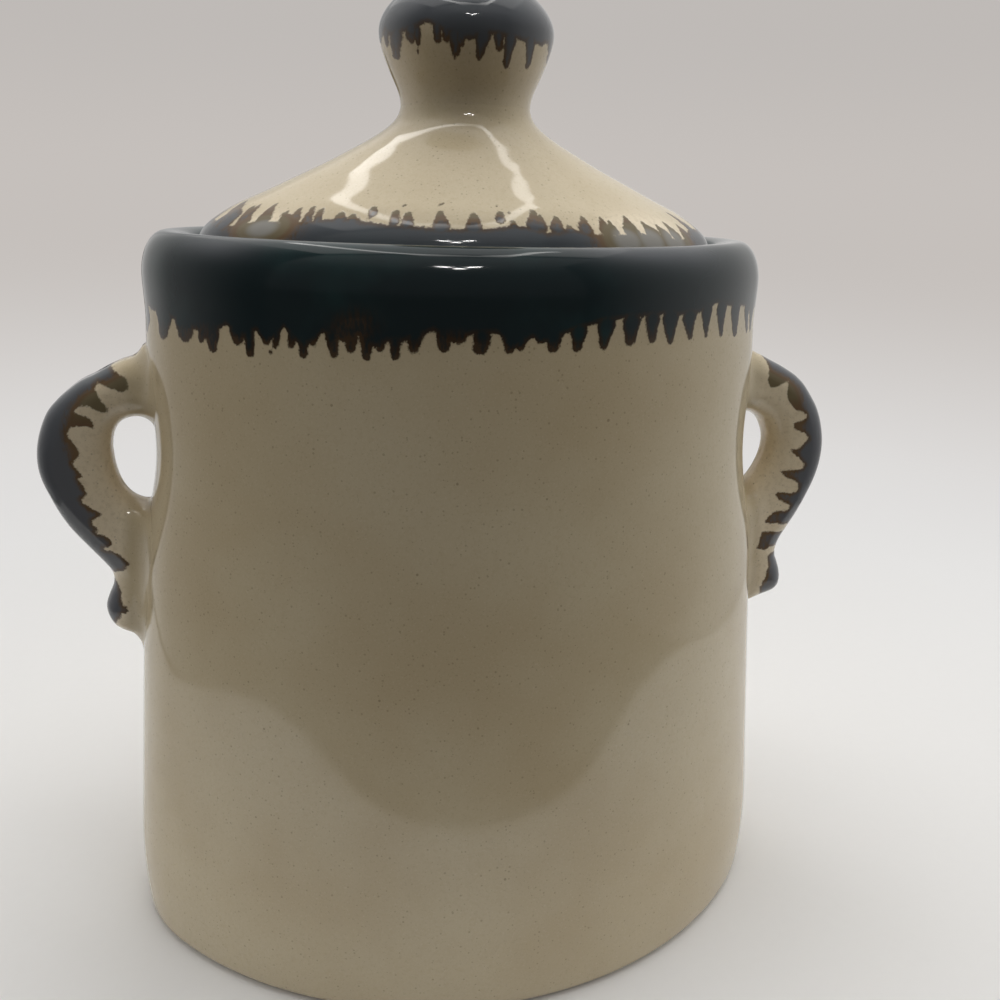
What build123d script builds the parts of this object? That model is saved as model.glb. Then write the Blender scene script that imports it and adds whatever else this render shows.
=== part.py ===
from build123d import *
from math import atan2, cos, degrees, radians, sin, sqrt
import os

# An oval glazed crock with a recessed lid, a round knob and an ear at each end.
# All sizes are in millimetres. X runs through the ears, Y from front to back, Z up.
# The origin is on the table, under the middle of the jar.

# Jar: the plan is an oval of four arcs, measured half way up the wall.
mid_half_length = 70.0
mid_half_depth = 51.2
end_round_share = 0.662
jar_height = 152.2
wall_flare = 11.8
wall_thick = 5.0
floor_thick = 6.0
floor_round = 9.0

# Foot and heel of the jar.
heel_height = 22.0
heel_inset = 1.9
base_round = 2.4
foot_width = 6.5
foot_recess = 1.4

# Rolled rim, the ledge that carries the lid and the mouth inside it.
bead_height = 18.0
bead_drop = 8.7
bead_bulge = 0.8
crest_inset = 5.0
rim_width = 10.2
rim_inner_drop = 1.5
ledge_depth = 4.6
ledge_width = 4.8
ledge_thick = 3.2
ledge_under = 11.0

# Lid: an oval edge that rises to a round neck.
lid_gap = 0.7
seat_gap = 0.3
lid_edge_height = 2.4
lid_rise = 29.3
lid_wall = 4.6
neck_radius = 13.3
flange_gap = 0.8
flange_wall = 3.4
flange_depth = 7.5
lid_run_shares = (0.955, 0.82, 0.655, 0.5, 0.372, 0.25, 0.14, 0.05, 0.008, 0.0)
lid_rise_shares = (0.11, 0.255, 0.373, 0.487, 0.58, 0.678, 0.77, 0.864, 0.94, 1.0)
lid_top_thick = 6.0
hollow_run_shares = (1.0, 0.93, 0.8, 0.55, 0.3, 0.1, 0.0)
hollow_rise_shares = (0.0, 0.16, 0.3, 0.5, 0.68, 0.86, 1.0)

# Knob, turned round its own axis.
knob_radius = 17.6
knob_waist_height = 13.8
knob_dome_height = 10.4
dome_run_share = 0.74
dome_rise_share = 0.68
knob_foot_radius = 13.2
knob_mid_share = 0.56

# Ears: the sections run from the foot up, and each one reaches out from the wall.
ear_foot = 64.0
ear_height = 65.0
ear_reach = 21.2
ear_low_height_shares = (-0.01, 0.02, 0.043, 0.083, 0.138, 0.19, 0.237, 0.318)
ear_low_reach_shares = (-0.12, 0.03, 0.165, 0.311, 0.361, 0.32, 0.281, 0.476)
ear_high_height_shares = (0.45, 0.572, 0.69, 0.79, 0.885, 0.94, 0.986, 1.01)
ear_high_reach_shares = (0.778, 0.948, 1.0, 0.896, 0.656, 0.358, 0.05, -0.12)
ear_half_thick = 6.2
ball_half_thick = 5.0
ear_tip_depth = 4.8
ear_root_half_width = 15.0
ear_root_run = 9.0
ear_foot_half_width = 4.6
ear_top_half_width = 7.4
ear_wide_share = 0.68
section_run_shares = (0.0, 0.2, 0.4, 0.58, 0.72, 0.84, 0.93, 0.98)
hole_reach = 8.0
hole_low_reach = 2.6
hole_bottom_share = 0.505
hole_height_share = 0.28
hole_top_radius = 4.1
hole_low_radius = 1.6
hole_taper = 12
overrun = 6.0


# The oval at mid height: an end arc and a side arc that meet where both run the same way.
end_radius = mid_half_depth * end_round_share
end_run = mid_half_length - end_radius
side_radius = (mid_half_depth**2 + end_run**2 - end_radius**2) / (2 * (mid_half_depth - end_radius))
side_run = side_radius - mid_half_depth
arc_split_angle = degrees(atan2(side_run, end_run))
quarter_turn = 90
half_turn = 180
end_turn = 2 * arc_split_angle
side_turn = half_turn - end_turn


def wall_offset(height):
    """How far the outer wall stands outside the oval at mid height."""
    return wall_flare / 2 - wall_flare * height / jar_height


def oval_centres(half_length, half_depth):
    """Where the arcs of an oval are centred: out along X, and out along Y."""
    cosine = cos(radians(arc_split_angle))
    sine = sin(radians(arc_split_angle))
    spread = (half_length - half_depth) / (cosine + sine - 1)
    return spread * cosine, spread * sine


def oval_sketch(height, half_length, half_depth):
    """An oval of two end arcs and two side arcs that run smoothly into each other."""
    along, across = oval_centres(half_length, half_depth)
    with BuildSketch(Plane.XY.offset(height)) as oval:
        with BuildLine():
            CenterArc((along, 0), half_length - along, -arc_split_angle, end_turn)
            CenterArc((0, -across), half_depth + across, arc_split_angle, side_turn)
            CenterArc((-along, 0), half_length - along, half_turn - arc_split_angle, end_turn)
            CenterArc((0, across), half_depth + across, half_turn + arc_split_angle, side_turn)
        make_face()
    return oval.sketch


def offset_oval(height, offset):
    """The oval at a height that lies a set distance outside the one at mid height."""
    return oval_sketch(height, mid_half_length + offset, mid_half_depth + offset)


# Heights and offsets that several pieces share.
bead_height_up = jar_height - bead_drop
bead_offset = wall_offset(bead_height_up) + bead_bulge
crest_offset = bead_offset - crest_inset
opening_offset = bead_offset - rim_width
mouth_offset = opening_offset - ledge_width
ledge_height = jar_height - ledge_depth
base_offset = wall_offset(0) - heel_inset
inner_low_height = floor_thick + floor_round
inner_low_offset = wall_offset(inner_low_height) - wall_thick
inner_top_height = ledge_height - ledge_thick - ledge_under
inner_top_offset = wall_offset(inner_top_height) - wall_thick
floor_offset = inner_low_offset - floor_round
foot_offset = base_offset - base_round
foot_inner_offset = foot_offset - foot_width
bead_start_height = jar_height - bead_height
lid_bottom = ledge_height + seat_gap
lid_edge_offset = opening_offset - lid_gap
neck_height = lid_bottom + lid_rise
flange_offset = mouth_offset - flange_gap


def wall_section(plane, radius):
    """The section of foot, wall, rim and ledge, drawn at one arc's own radius."""
    with BuildSketch(plane) as section:
        with BuildLine():
            upright = (-wall_flare / jar_height, 1)
            downward = (wall_flare / jar_height, -1)
            belly = (radius + wall_offset(heel_height), heel_height)
            bead_start = (radius + wall_offset(bead_start_height), bead_start_height)
            bead = (radius + bead_offset, bead_height_up)
            heel = TangentArc(belly, (radius + base_offset, base_round), tangent=downward)
            TangentArc(heel @ 1, (radius + foot_offset, 0), tangent=heel % 1)
            Line(belly, bead_start)
            Spline(bead_start, bead, tangents=[upright, (0, 1)])
            bead_centre = (radius + crest_offset, bead_height_up)
            EllipticalCenterArc(bead_centre, crest_inset, bead_drop, 0, arc_size=quarter_turn)
            inner_run = crest_offset - opening_offset
            opening_height = jar_height - rim_inner_drop
            lip_centre = (radius + crest_offset, opening_height)
            EllipticalCenterArc(
                lip_centre, inner_run, rim_inner_drop, quarter_turn, arc_size=quarter_turn
            )
            Polyline(
                (radius + opening_offset, opening_height),
                (radius + opening_offset, ledge_height),
                (radius + mouth_offset, ledge_height),
                (radius + mouth_offset, ledge_height - ledge_thick),
                (radius + inner_top_offset, inner_top_height),
                (radius + inner_low_offset, inner_low_height),
            )
            TangentArc(
                (radius + inner_low_offset, inner_low_height),
                (radius + floor_offset, floor_thick),
                tangent=downward,
            )
            Polyline(
                (radius + floor_offset, floor_thick),
                (radius + floor_offset, foot_recess),
                (radius + foot_inner_offset, foot_recess),
                (radius + foot_inner_offset, 0),
                (radius + foot_offset, 0),
            )
        make_face()
    return section.sketch


# Jar body: the wall section is turned about the four centres of the oval, then floored.
quarters = (
    ((end_run, 0), end_radius, -arc_split_angle, end_turn),
    ((0, -side_run), side_radius, arc_split_angle, side_turn),
    ((-end_run, 0), end_radius, half_turn - arc_split_angle, end_turn),
    ((0, side_run), side_radius, half_turn + arc_split_angle, side_turn),
)
with BuildPart() as jar_body:
    for centre, radius, start, turn in quarters:
        outward = (cos(radians(start)), sin(radians(start)), 0)
        sideways = (sin(radians(start)), -cos(radians(start)), 0)
        plane = Plane(origin=(*centre, 0), x_dir=outward, z_dir=sideways)
        section = wall_section(plane, radius)
        revolve(section, axis=Axis((*centre, 0), (0, 0, 1)), revolution_arc=turn)
    extrude(offset_oval(foot_recess, floor_offset + floor_round / 4), amount=floor_thick - foot_recess)


def wall_x(height):
    """Half the length of the jar, outside, at a height on its straight wall."""
    return mid_half_length + wall_offset(height)


def ear_section(height_share, reach_share):
    """The ear seen from above at one height: a round tip, an even web and a flared root."""
    height = ear_foot + ear_height * height_share
    reach = ear_reach * reach_share
    low_side = height_share < ear_wide_share
    end_half_width = ear_foot_half_width if low_side else ear_top_half_width
    end_run = ear_wide_share if low_side else 1 - ear_wide_share
    wide_share = 1 - ((height_share - ear_wide_share) / end_run) ** 2
    root_half_width = end_half_width + (ear_root_half_width - end_half_width) * wide_share
    thick_share = min(1, height_share / ear_wide_share)
    half_thick = ball_half_thick + (ear_half_thick - ball_half_thick) * thick_share
    tip = wall_x(height) + reach
    inner = wall_x(height) - overrun
    half = []
    for run_share in section_run_shares:
        out = inner + (tip - inner) * run_share
        round_share = max(0, 1 - (tip - out) / ear_tip_depth)
        flare_share = max(0, 1 - (out - inner) / (overrun + ear_root_run))
        flare = (root_half_width - half_thick) * flare_share**2
        half.append((out, half_thick * sqrt(1 - round_share**2) + flare))
    across = [(out, -half_width) for out, half_width in reversed(half)]
    with BuildSketch(Plane.XY.offset(height)) as section:
        with BuildLine():
            edge = Spline(*half, (tip, 0), *across)
            Line(edge @ 1, edge @ 0)
        make_face()
    return section.sketch


def hole_outline():
    """The finger hole seen from the front: a drop that is wide at the top, against the wall."""
    low_height = ear_foot + ear_height * hole_bottom_share + hole_low_radius
    top_height = ear_foot + ear_height * (hole_bottom_share + hole_height_share) - hole_top_radius
    low_out = wall_x(low_height) + hole_low_reach - hole_low_radius
    top_out = wall_x(top_height) + hole_reach - hole_top_radius
    with BuildSketch(Plane.XZ) as hole:
        with Locations((low_out, low_height), (low_out - overrun, low_height)):
            Circle(hole_low_radius)
        with Locations((top_out, top_height), (top_out - overrun, top_height)):
            Circle(hole_top_radius)
        make_hull()
    return hole.sketch


# Right ear: lofted from foot to top, pierced, then cut to the wall. The left one mirrors it.
with BuildPart() as right_handle:
    height_shares = ear_low_height_shares + ear_high_height_shares
    reach_shares = ear_low_reach_shares + ear_high_reach_shares
    loft([ear_section(*shares) for shares in zip(height_shares, reach_shares)])
    extrude(hole_outline(), amount=ear_root_half_width, both=True, taper=-hole_taper, mode=Mode.SUBTRACT)
    low = ear_foot - overrun
    high = ear_foot + ear_height + overrun
    wall_ovals = [offset_oval(low, wall_offset(low)), offset_oval(high, wall_offset(high))]
    loft(wall_ovals, ruled=True, mode=Mode.SUBTRACT)

with BuildPart() as left_handle:
    mirror(right_handle.part, about=Plane.YZ)


def lid_section(edge_length, edge_depth, low_radius, run_share, height):
    """One oval of the lid, part of the way in from its edge to its round neck."""
    half_length = low_radius + (edge_length - low_radius) * run_share
    half_depth = low_radius + (edge_depth - low_radius) * run_share
    return oval_sketch(height, half_length, half_depth)


# Lid: a flat oval edge, lofted up to the neck, hollow below, with a locating flange.
with BuildPart() as lid:
    edge_length = mid_half_length + lid_edge_offset
    edge_depth = mid_half_depth + lid_edge_offset
    extrude(offset_oval(lid_bottom, lid_edge_offset), amount=lid_edge_height)
    outer_sections = [offset_oval(lid_bottom + lid_edge_height, lid_edge_offset)]
    for run_share, rise_share in zip(lid_run_shares, lid_rise_shares):
        height = lid_bottom + lid_edge_height + (lid_rise - lid_edge_height) * rise_share
        outer_sections.append(lid_section(edge_length, edge_depth, neck_radius, run_share, height))
    loft(outer_sections)
    flange_low = lid_bottom - flange_depth
    extrude(offset_oval(flange_low, flange_offset), amount=flange_depth)
    extrude(offset_oval(flange_low, flange_offset - flange_wall), amount=flange_depth, mode=Mode.SUBTRACT)
    hollow_length = mid_half_length + flange_offset - flange_wall
    hollow_depth = mid_half_depth + flange_offset - flange_wall
    hollow_neck = neck_radius - lid_wall
    hollow_sections = []
    for run_share, rise_share in zip(hollow_run_shares, hollow_rise_shares):
        height = lid_bottom + (lid_rise - lid_top_thick) * rise_share
        hollow_sections.append(lid_section(hollow_length, hollow_depth, hollow_neck, run_share, height))
    loft(hollow_sections, mode=Mode.SUBTRACT)

# Knob: turned, with a waist, a wide shoulder and a domed top.
with BuildPart() as lid_knob:
    shoulder_height = neck_height + knob_waist_height
    waist_radius = knob_foot_radius + (knob_radius - knob_foot_radius) * knob_mid_share
    dome_radius = knob_radius * dome_run_share
    top_height = shoulder_height + knob_dome_height
    with BuildSketch(Plane.XZ):
        with BuildLine():
            waist = Spline(
                (knob_foot_radius, neck_height),
                (waist_radius, neck_height + knob_waist_height / 2),
                (knob_radius, shoulder_height),
                tangents=[(0, 1), (0, 1)],
            )
            dome = Spline(
                waist @ 1,
                (dome_radius, shoulder_height + knob_dome_height * dome_rise_share),
                (0, top_height),
                tangents=[(0, 1), (-1, 0)],
            )
            Polyline(dome @ 1, (0, neck_height), waist @ 0)
        make_face()
    revolve(axis=Axis.Z)

os.makedirs("parts", exist_ok=True)
jar_body.part.label = "jar_body"
left_handle.part.label = "left_handle"
right_handle.part.label = "right_handle"
lid.part.label = "lid"
lid_knob.part.label = "lid_knob"
export_step(jar_body.part, "parts/jar_body.step")
export_step(left_handle.part, "parts/left_handle.step")
export_step(right_handle.part, "parts/right_handle.step")
export_step(lid.part, "parts/lid.step")
export_step(lid_knob.part, "parts/lid_knob.step")
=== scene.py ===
"""An oval stoneware jar with two ears and a knobbed lid, hand brushed with dark glaze.

The shapes repeat the CAD model's sizes, in millimetres, and go to Blender in metres.
X runs through the ears, Y from front to back, Z up, with the origin on the table.
"""

from math import atan2, cos, pi, radians, sin, tau

import bpy
import numpy as np
from mathutils import Matrix, Vector


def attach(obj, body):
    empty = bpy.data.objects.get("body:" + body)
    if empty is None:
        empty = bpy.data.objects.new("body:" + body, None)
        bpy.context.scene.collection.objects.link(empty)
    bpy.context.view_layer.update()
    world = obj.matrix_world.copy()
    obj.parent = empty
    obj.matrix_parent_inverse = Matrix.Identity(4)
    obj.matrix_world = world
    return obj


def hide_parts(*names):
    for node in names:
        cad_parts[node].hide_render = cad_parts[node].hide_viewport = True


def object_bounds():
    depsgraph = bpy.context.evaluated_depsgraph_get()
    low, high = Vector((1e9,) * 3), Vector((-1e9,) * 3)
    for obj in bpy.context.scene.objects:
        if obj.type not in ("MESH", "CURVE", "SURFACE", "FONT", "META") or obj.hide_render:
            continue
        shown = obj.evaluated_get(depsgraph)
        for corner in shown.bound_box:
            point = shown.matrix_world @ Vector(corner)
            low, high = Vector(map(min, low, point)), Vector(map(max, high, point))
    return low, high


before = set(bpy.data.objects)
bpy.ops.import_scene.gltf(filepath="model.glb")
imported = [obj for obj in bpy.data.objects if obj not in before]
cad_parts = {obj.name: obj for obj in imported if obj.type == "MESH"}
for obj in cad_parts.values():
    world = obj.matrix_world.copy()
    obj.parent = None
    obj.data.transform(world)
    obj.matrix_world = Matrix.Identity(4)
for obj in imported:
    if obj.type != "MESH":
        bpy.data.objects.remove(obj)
cad_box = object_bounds()
cad_half_length = cad_box[1][0] * 1000
MM = 0.001

# Jar sizes, as in the CAD model.
mid_half_length, mid_half_depth = 70.0, 51.2
end_round_share = 0.662
jar_height, wall_flare, wall_thick = 152.2, 11.8, 5.0
floor_thick, floor_round = 6.0, 9.0
heel_height, heel_inset = 22.0, 1.9
base_round, foot_width, foot_recess = 2.4, 6.5, 1.4
bead_height, bead_drop, bead_bulge, crest_inset = 18.0, 8.7, 0.8, 5.0
rim_width, rim_inner_drop = 10.2, 1.5
ledge_depth, ledge_width, ledge_thick, ledge_under = 4.6, 4.8, 3.2, 11.0
edge_round = 0.7

# Lid and knob.
lid_gap, seat_gap, lid_edge_height = 0.7, 0.3, 2.4
lid_rise, lid_wall, lid_top_thick = 29.3, 4.6, 6.0
neck_radius = 13.3
flange_gap, flange_wall, flange_depth = 0.8, 3.4, 7.5
lid_run_shares = (1.0, 0.955, 0.82, 0.655, 0.5, 0.372, 0.25, 0.14, 0.05, 0.008, 0.0)
lid_rise_shares = (0.0, 0.11, 0.255, 0.373, 0.487, 0.58, 0.678, 0.77, 0.864, 0.94, 1.0)
hollow_run_shares = (1.0, 0.93, 0.8, 0.55, 0.3, 0.1, 0.0)
hollow_rise_shares = (0.0, 0.16, 0.3, 0.5, 0.68, 0.86, 1.0)
knob_radius, knob_foot_radius = 17.6, 13.2
knob_waist_height, knob_dome_height = 13.8, 10.4
knob_mid_share = 0.56
dome_run_share, dome_rise_share = 0.74, 0.68

# Ears.
ear_foot, ear_height, ear_reach = 64.0, 65.0, 21.2
ear_half_thick, ball_half_thick, ear_tip_round = 6.2, 5.4, 4.8
ear_wide_share = 0.68
flare_blend, flare_end_blend, hole_blend, hole_wall_blend = 11.0, 2.0, 6.0, 1.4
hole_inset, hole_half_width = 0.3, 9.0
dent_depth = {"left": 2.4, "right": 4.4}
dent_height, dent_half_height, dent_half_width = 107.0, 14.0, 18.0
overrun = 6.0
ear_sink = 0.12
# The box that an ear's field fills, past the ear's own corners, and where the ear is cut off in
# depth, past its top and foot, and inside the wall.
ear_box_low, ear_box_high = (-9.0, -26.0, -8.0), (1.0, 26.0, 9.0)
ear_cut_half_depth, ear_cut_margin, ear_cut_inside = 24.0, 6.0, 1.0
ear_full_share, ear_box_gap = 0.45, 0.05

# How finely the surfaces are drawn. Plain parts keep every third column.
fine_columns, plain_step = 1200, 3
ear_grid_step = 0.5
skin = 0.02
# The farthest from the edge of the dark glaze that is kept at a point.
paint_reach = 6.0


# ---------------------------------------------------------------- the oval

end_radius = mid_half_depth * end_round_share
end_run = mid_half_length - end_radius
side_radius = (mid_half_depth**2 + end_run**2 - end_radius**2) / (2 * (mid_half_depth - end_radius))
side_run = side_radius - mid_half_depth
split = atan2(side_run, end_run)


def wall_offset(height):
    """How far the outer wall stands outside the oval at mid height."""
    return wall_flare / 2 - wall_flare * height / jar_height


def wall_x(height):
    """Half the length of the jar, outside, at a height on its straight wall."""
    return mid_half_length + wall_offset(height)


def oval_columns(count):
    """Evenly spaced places round the mid oval, from the back and on by the left end.

    Each has its arc's centre, radius and outward direction, and its distance along the oval.
    """
    arcs = (
        ((0, -side_run), side_radius, pi / 2, pi / 2 - split),
        ((-end_run, 0), end_radius, pi - split, 2 * split),
        ((0, side_run), side_radius, pi + split, pi - 2 * split),
        ((end_run, 0), end_radius, -split, 2 * split),
        ((0, -side_run), side_radius, split, pi / 2 - split),
    )
    lengths = np.array([radius * turn for _, radius, _, turn in arcs])
    ends = np.cumsum(lengths)
    along = np.arange(count) * ends[-1] / count
    place = np.searchsorted(ends, along, side="right")
    centre = np.array([arc[0] for arc in arcs])[place]
    radius = np.array([arc[1] for arc in arcs])[place]
    start = np.array([arc[2] for arc in arcs])[place]
    angle = start + (along - (ends - lengths)[place]) / radius
    outward = np.stack([np.cos(angle), np.sin(angle)], 1)
    return centre, radius, outward, along, ends[-1]


centres, radii, outwards, alongs, perimeter = oval_columns(fine_columns)
is_side = radii > (end_radius + side_radius) / 2


def oval_ring(half_length, half_depth, height, every=1):
    """A ring of points on an oval of that size, which is a circle where both are the same."""
    ratio = (half_length - half_depth) / (mid_half_length - mid_half_depth)
    radius = np.where(is_side, half_depth + ratio * side_run, half_length - ratio * end_run)
    flat = (centres * ratio + outwards * radius[:, None])[::every]
    return np.column_stack([flat, np.full(len(flat), float(height))])


def oval_distance(x, y, half_length=mid_half_length, half_depth=mid_half_depth):
    """Distance outside an oval, negative inside."""
    ratio = (half_length - half_depth) / (mid_half_length - mid_half_depth)
    x, y = np.abs(x), np.abs(y)
    at_end = y * cos(split) < (x - ratio * end_run) * sin(split)
    from_end = np.hypot(x - ratio * end_run, y) - (half_length - ratio * end_run)
    from_side = np.hypot(x, y + ratio * side_run) - (half_depth + ratio * side_run)
    return np.where(at_end, from_end, from_side)


def dent(hand, y, z):
    """How far the wall is pressed in behind a finger hole."""
    up, across = (z - dent_height) / dent_half_height, y / dent_half_width
    return dent_depth[hand] * np.exp(-(up**2) - across**2)


def wall_distance(hand, x, y, z):
    """Distance outside the jar's wall at one of its ends, negative inside."""
    return oval_distance(x, y) - wall_offset(z) + dent(hand, y, z)


# ---------------------------------------------------------------- lines and fields


def bend(start, start_way, end, end_way, count):
    """A smooth line between two points that leaves and arrives in the given directions."""
    start, end = np.array(start, float), np.array(end, float)
    reach = np.linalg.norm(end - start)
    t = np.linspace(0, 1, count)[:, None]
    way_in = np.array(start_way, float) / np.linalg.norm(start_way) * reach
    way_out = np.array(end_way, float) / np.linalg.norm(end_way) * reach
    return (
        (2 * t**3 - 3 * t**2 + 1) * start
        + (t**3 - 2 * t**2 + t) * way_in
        + (3 * t**2 - 2 * t**3) * end
        + (t**3 - t**2) * way_out
    )


def tangent_arc(start, way, end, count):
    """A round arc that leaves one point in a direction for another, and its last direction."""
    start, end, way = (np.array(v, float) for v in (start, end, way))
    way /= np.linalg.norm(way)
    side = np.array([-way[1], way[0]])
    chord = end - start
    radius = chord @ chord / (2 * chord @ side)
    centre = start + side * radius
    turn = 2 * atan2(chord @ side, chord @ way)
    angle = atan2(*(start - centre)[::-1]) + np.linspace(0, turn, count)
    points = centre + abs(radius) * np.column_stack([np.cos(angle), np.sin(angle)])
    return points, way * cos(turn) + side * sin(turn)


def ellipse(centre, run, rise, start, turn, count):
    """Part of an ellipse, from an angle and through a turn, both in degrees."""
    angle = np.radians(np.linspace(start, start + turn, count))
    return np.column_stack([centre[0] + run * np.cos(angle), centre[1] + rise * np.sin(angle)])


def straight(start, end, step):
    """A straight line in steps of about that length."""
    count = max(2, round(float(np.hypot(end[0] - start[0], end[1] - start[1])) / step) + 1)
    return np.linspace(start, end, count)


def spline(points, count):
    """A smooth line through points, evenly spaced along its length."""
    points = np.array(points, float)
    padded = np.vstack([2 * points[0] - points[1], points, 2 * points[-1] - points[-2]])
    gaps = np.sqrt(np.linalg.norm(np.diff(padded, axis=0), axis=1))
    knots = np.concatenate([[0], np.cumsum(gaps)])
    pieces = []
    for i in range(1, len(padded) - 2):
        t = np.linspace(knots[i], knots[i + 1], 60, endpoint=i == len(padded) - 3)[:, None]
        p, k = padded[i - 1 : i + 3], knots[i - 1 : i + 3]
        a = [((k[j + 1] - t) * p[j] + (t - k[j]) * p[j + 1]) / (k[j + 1] - k[j]) for j in range(3)]
        b = [((k[j + 2] - t) * a[j] + (t - k[j]) * a[j + 1]) / (k[j + 2] - k[j]) for j in range(2)]
        pieces.append(((k[2] - t) * b[0] + (t - k[1]) * b[1]) / (k[2] - k[1]))
    line = np.vstack(pieces)
    run = np.concatenate([[0], np.cumsum(np.linalg.norm(np.diff(line, axis=0), axis=1))])
    places = np.linspace(0, run[-1], count)
    return np.column_stack([np.interp(places, run, line[:, i]) for i in range(line.shape[1])])


def smoothed(line, reach):
    """An evenly spaced line with its bends evened out over so many points. It keeps its ends."""
    before, after = 2 * line[0] - line[reach:0:-1], 2 * line[-1] - line[-2 : -reach - 2 : -1]
    padded = np.vstack([before, line, after])
    weights = np.hanning(2 * reach + 3)[1:-1]
    weights = weights / weights.sum()
    return np.column_stack([np.convolve(values, weights, "valid") for values in padded.T])


def joined(*lines):
    """Lines run together, each without a first point that repeats the last one's end."""
    whole = [np.asarray(lines[0], float)]
    for line in lines[1:]:
        line = np.asarray(line, float)
        repeats = np.linalg.norm(line[0] - whole[-1][-1]) < skin
        whole.append(line[1:] if repeats else line)
    return np.vstack(whole)


def rounded_corner(corner, way_in, way_out, radius, count=4):
    """A small round in place of a sharp corner of a section."""
    corner = np.array(corner, float)
    start = corner - np.array(way_in) * radius
    end = corner + np.array(way_out) * radius
    t = np.linspace(0, 1, count)[:, None]
    return (1 - t) ** 2 * start + 2 * t * (1 - t) * corner + t**2 * end


def smooth_min(a, b, blend):
    """The smaller of two fields, with a rounded change from one to the other."""
    share = np.maximum(blend - np.abs(a - b), 0) / blend
    return np.minimum(a, b) - share**2 * blend / 4


def smooth_max(a, b, blend):
    """The larger of two fields, with a rounded change from one to the other."""
    return -smooth_min(-a, -b, blend)


def outline_distance(x, z, outline):
    """Distance of points from a closed outline, negative inside it."""
    nearest = np.full(x.shape, np.inf)
    inside = np.zeros(x.shape, bool)
    for (ax, az), (bx, bz) in zip(outline, np.roll(outline, -1, axis=0)):
        dx, dz = bx - ax, bz - az
        t = np.clip(((x - ax) * dx + (z - az) * dz) / (dx * dx + dz * dz), 0, 1)
        nearest = np.minimum(nearest, (x - ax - t * dx) ** 2 + (z - az - t * dz) ** 2)
        crosses = (az > z) != (bz > z)
        if abs(dz) > 0:
            inside ^= crosses & (x < ax + (z - az) * dx / dz)
    return np.where(inside, -1, 1) * np.sqrt(nearest)


# ---------------------------------------------------------------- camera

camera_distance, camera_height = 224.7, 162.6
camera_round, camera_pan, camera_pitch, camera_roll = 10.66, 2.38, 17.34, 1.6
camera_lens, camera_sensor, camera_shift = 36.86, 36.0, 0.0039
photo_size = 1000
# How finely a sight line is tried, and how often and how far a pixel that misses is moved.
sight_steps, sight_tries, sight_shift = 900, 20, 1.5

camera_side = radians(camera_round)
camera_place = Vector((-sin(camera_side), -cos(camera_side), 0)) * camera_distance
camera_place.z = camera_height
camera_turn = (
    Matrix.Rotation(-radians(camera_round + camera_pan), 4, "Z")
    @ Matrix.Rotation(pi / 2 - radians(camera_pitch), 4, "X")
    @ Matrix.Rotation(radians(camera_roll), 4, "Z")
)
camera = bpy.data.objects.new("camera", bpy.data.cameras.new("camera"))
camera.data.sensor_width = camera_sensor
camera.data.lens = camera_lens
camera.data.shift_y = camera_shift
camera.data.clip_start = 0.01
camera.matrix_world = Matrix.Translation(camera_place * MM) @ camera_turn
bpy.context.collection.objects.link(camera)
bpy.context.scene.camera = camera


def sight_line(x, y):
    """The direction from the camera through one of the photograph's pixels."""
    focal = camera_lens / camera_sensor
    across = x / photo_size - 0.5
    up = 0.5 - y / photo_size + camera_shift
    return np.array((camera_turn.to_3x3() @ Vector((across / focal, up / focal, -1))).normalized())


def seen_on_plane(x, y, plane_y):
    """Where a pixel's line meets an upright plane that faces the front, in X and Z."""
    way = sight_line(x, y)
    point = np.array(camera_place) + way * (plane_y - camera_place.y) / way[1]
    return point[[0, 2]]


def seen_on_ovals(x, y, half_sizes):
    """Where a pixel's line first meets a stack of ovals: how far round, and how high.

    A line that misses is moved towards the middle of the photograph until it meets them.
    """
    reach = np.linspace(camera_distance / 2, camera_distance * 1.6, sight_steps)
    for _ in range(sight_tries):
        points = np.array(camera_place) + sight_line(x, y) * reach[:, None]
        gap = oval_distance(points[:, 0], points[:, 1], *half_sizes(points[:, 2]))
        if (gap < 0).any():
            break
        x += sight_shift if x < photo_size / 2 else -sight_shift
    i = max(1, int(np.argmax(gap < 0)))
    point = points[i - 1] + (points[i] - points[i - 1]) * gap[i - 1] / (gap[i - 1] - gap[i])
    ring = oval_ring(*half_sizes(point[2]), point[2])
    nearest = int(np.argmin(((ring - point) ** 2).sum(1)))
    ahead = ring[(nearest + 1) % fine_columns] - ring[nearest]
    beyond = (point - ring[nearest]) @ ahead / (ahead @ ahead)
    return alongs[nearest] + np.clip(beyond, -0.5, 0.5) * perimeter / fine_columns, point[2]


# ---------------------------------------------------------------- painted strokes

# The steps and the wave of an edge line where the photograph doesn't show it, and how thin the
# dark glaze gets at a stroke's tip.
line_step, line_end_gap, line_wave = 7.0, 6.0, 17.0
tip_fade = 0.8


def read_strokes(rows, half_sizes, outward):
    """Strokes read off the photograph, as places on the piece.

    Each row starts with a stroke's root and tip and half its width at both, in pixels. outward
    turns a height on the piece into how far out it is from the painted edge.
    """
    strokes = []
    for root_x, root_y, tip_x, tip_y, root_half, tip_half, *_ in rows:
        length = max(float(np.hypot(tip_x - root_x, tip_y - root_y)), 1.0)
        tip_x -= (tip_x - root_x) / length * min(tip_half, length)
        tip_y -= (tip_y - root_y) / length * min(tip_half, length)
        root_along, root_height = seen_on_ovals(root_x, root_y, half_sizes)
        tip_along, tip_height = seen_on_ovals(tip_x, tip_y, half_sizes)
        inward = 3 if tip_x < photo_size / 2 else -3
        beside = seen_on_ovals(tip_x + inward, tip_y, half_sizes)[0]
        scale = min(abs(beside - tip_along) / 3, 0.7)
        widths = (root_half * scale, tip_half * scale)
        strokes.append((root_along, outward(root_height), tip_along, outward(tip_height), *widths))
    return strokes


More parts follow.
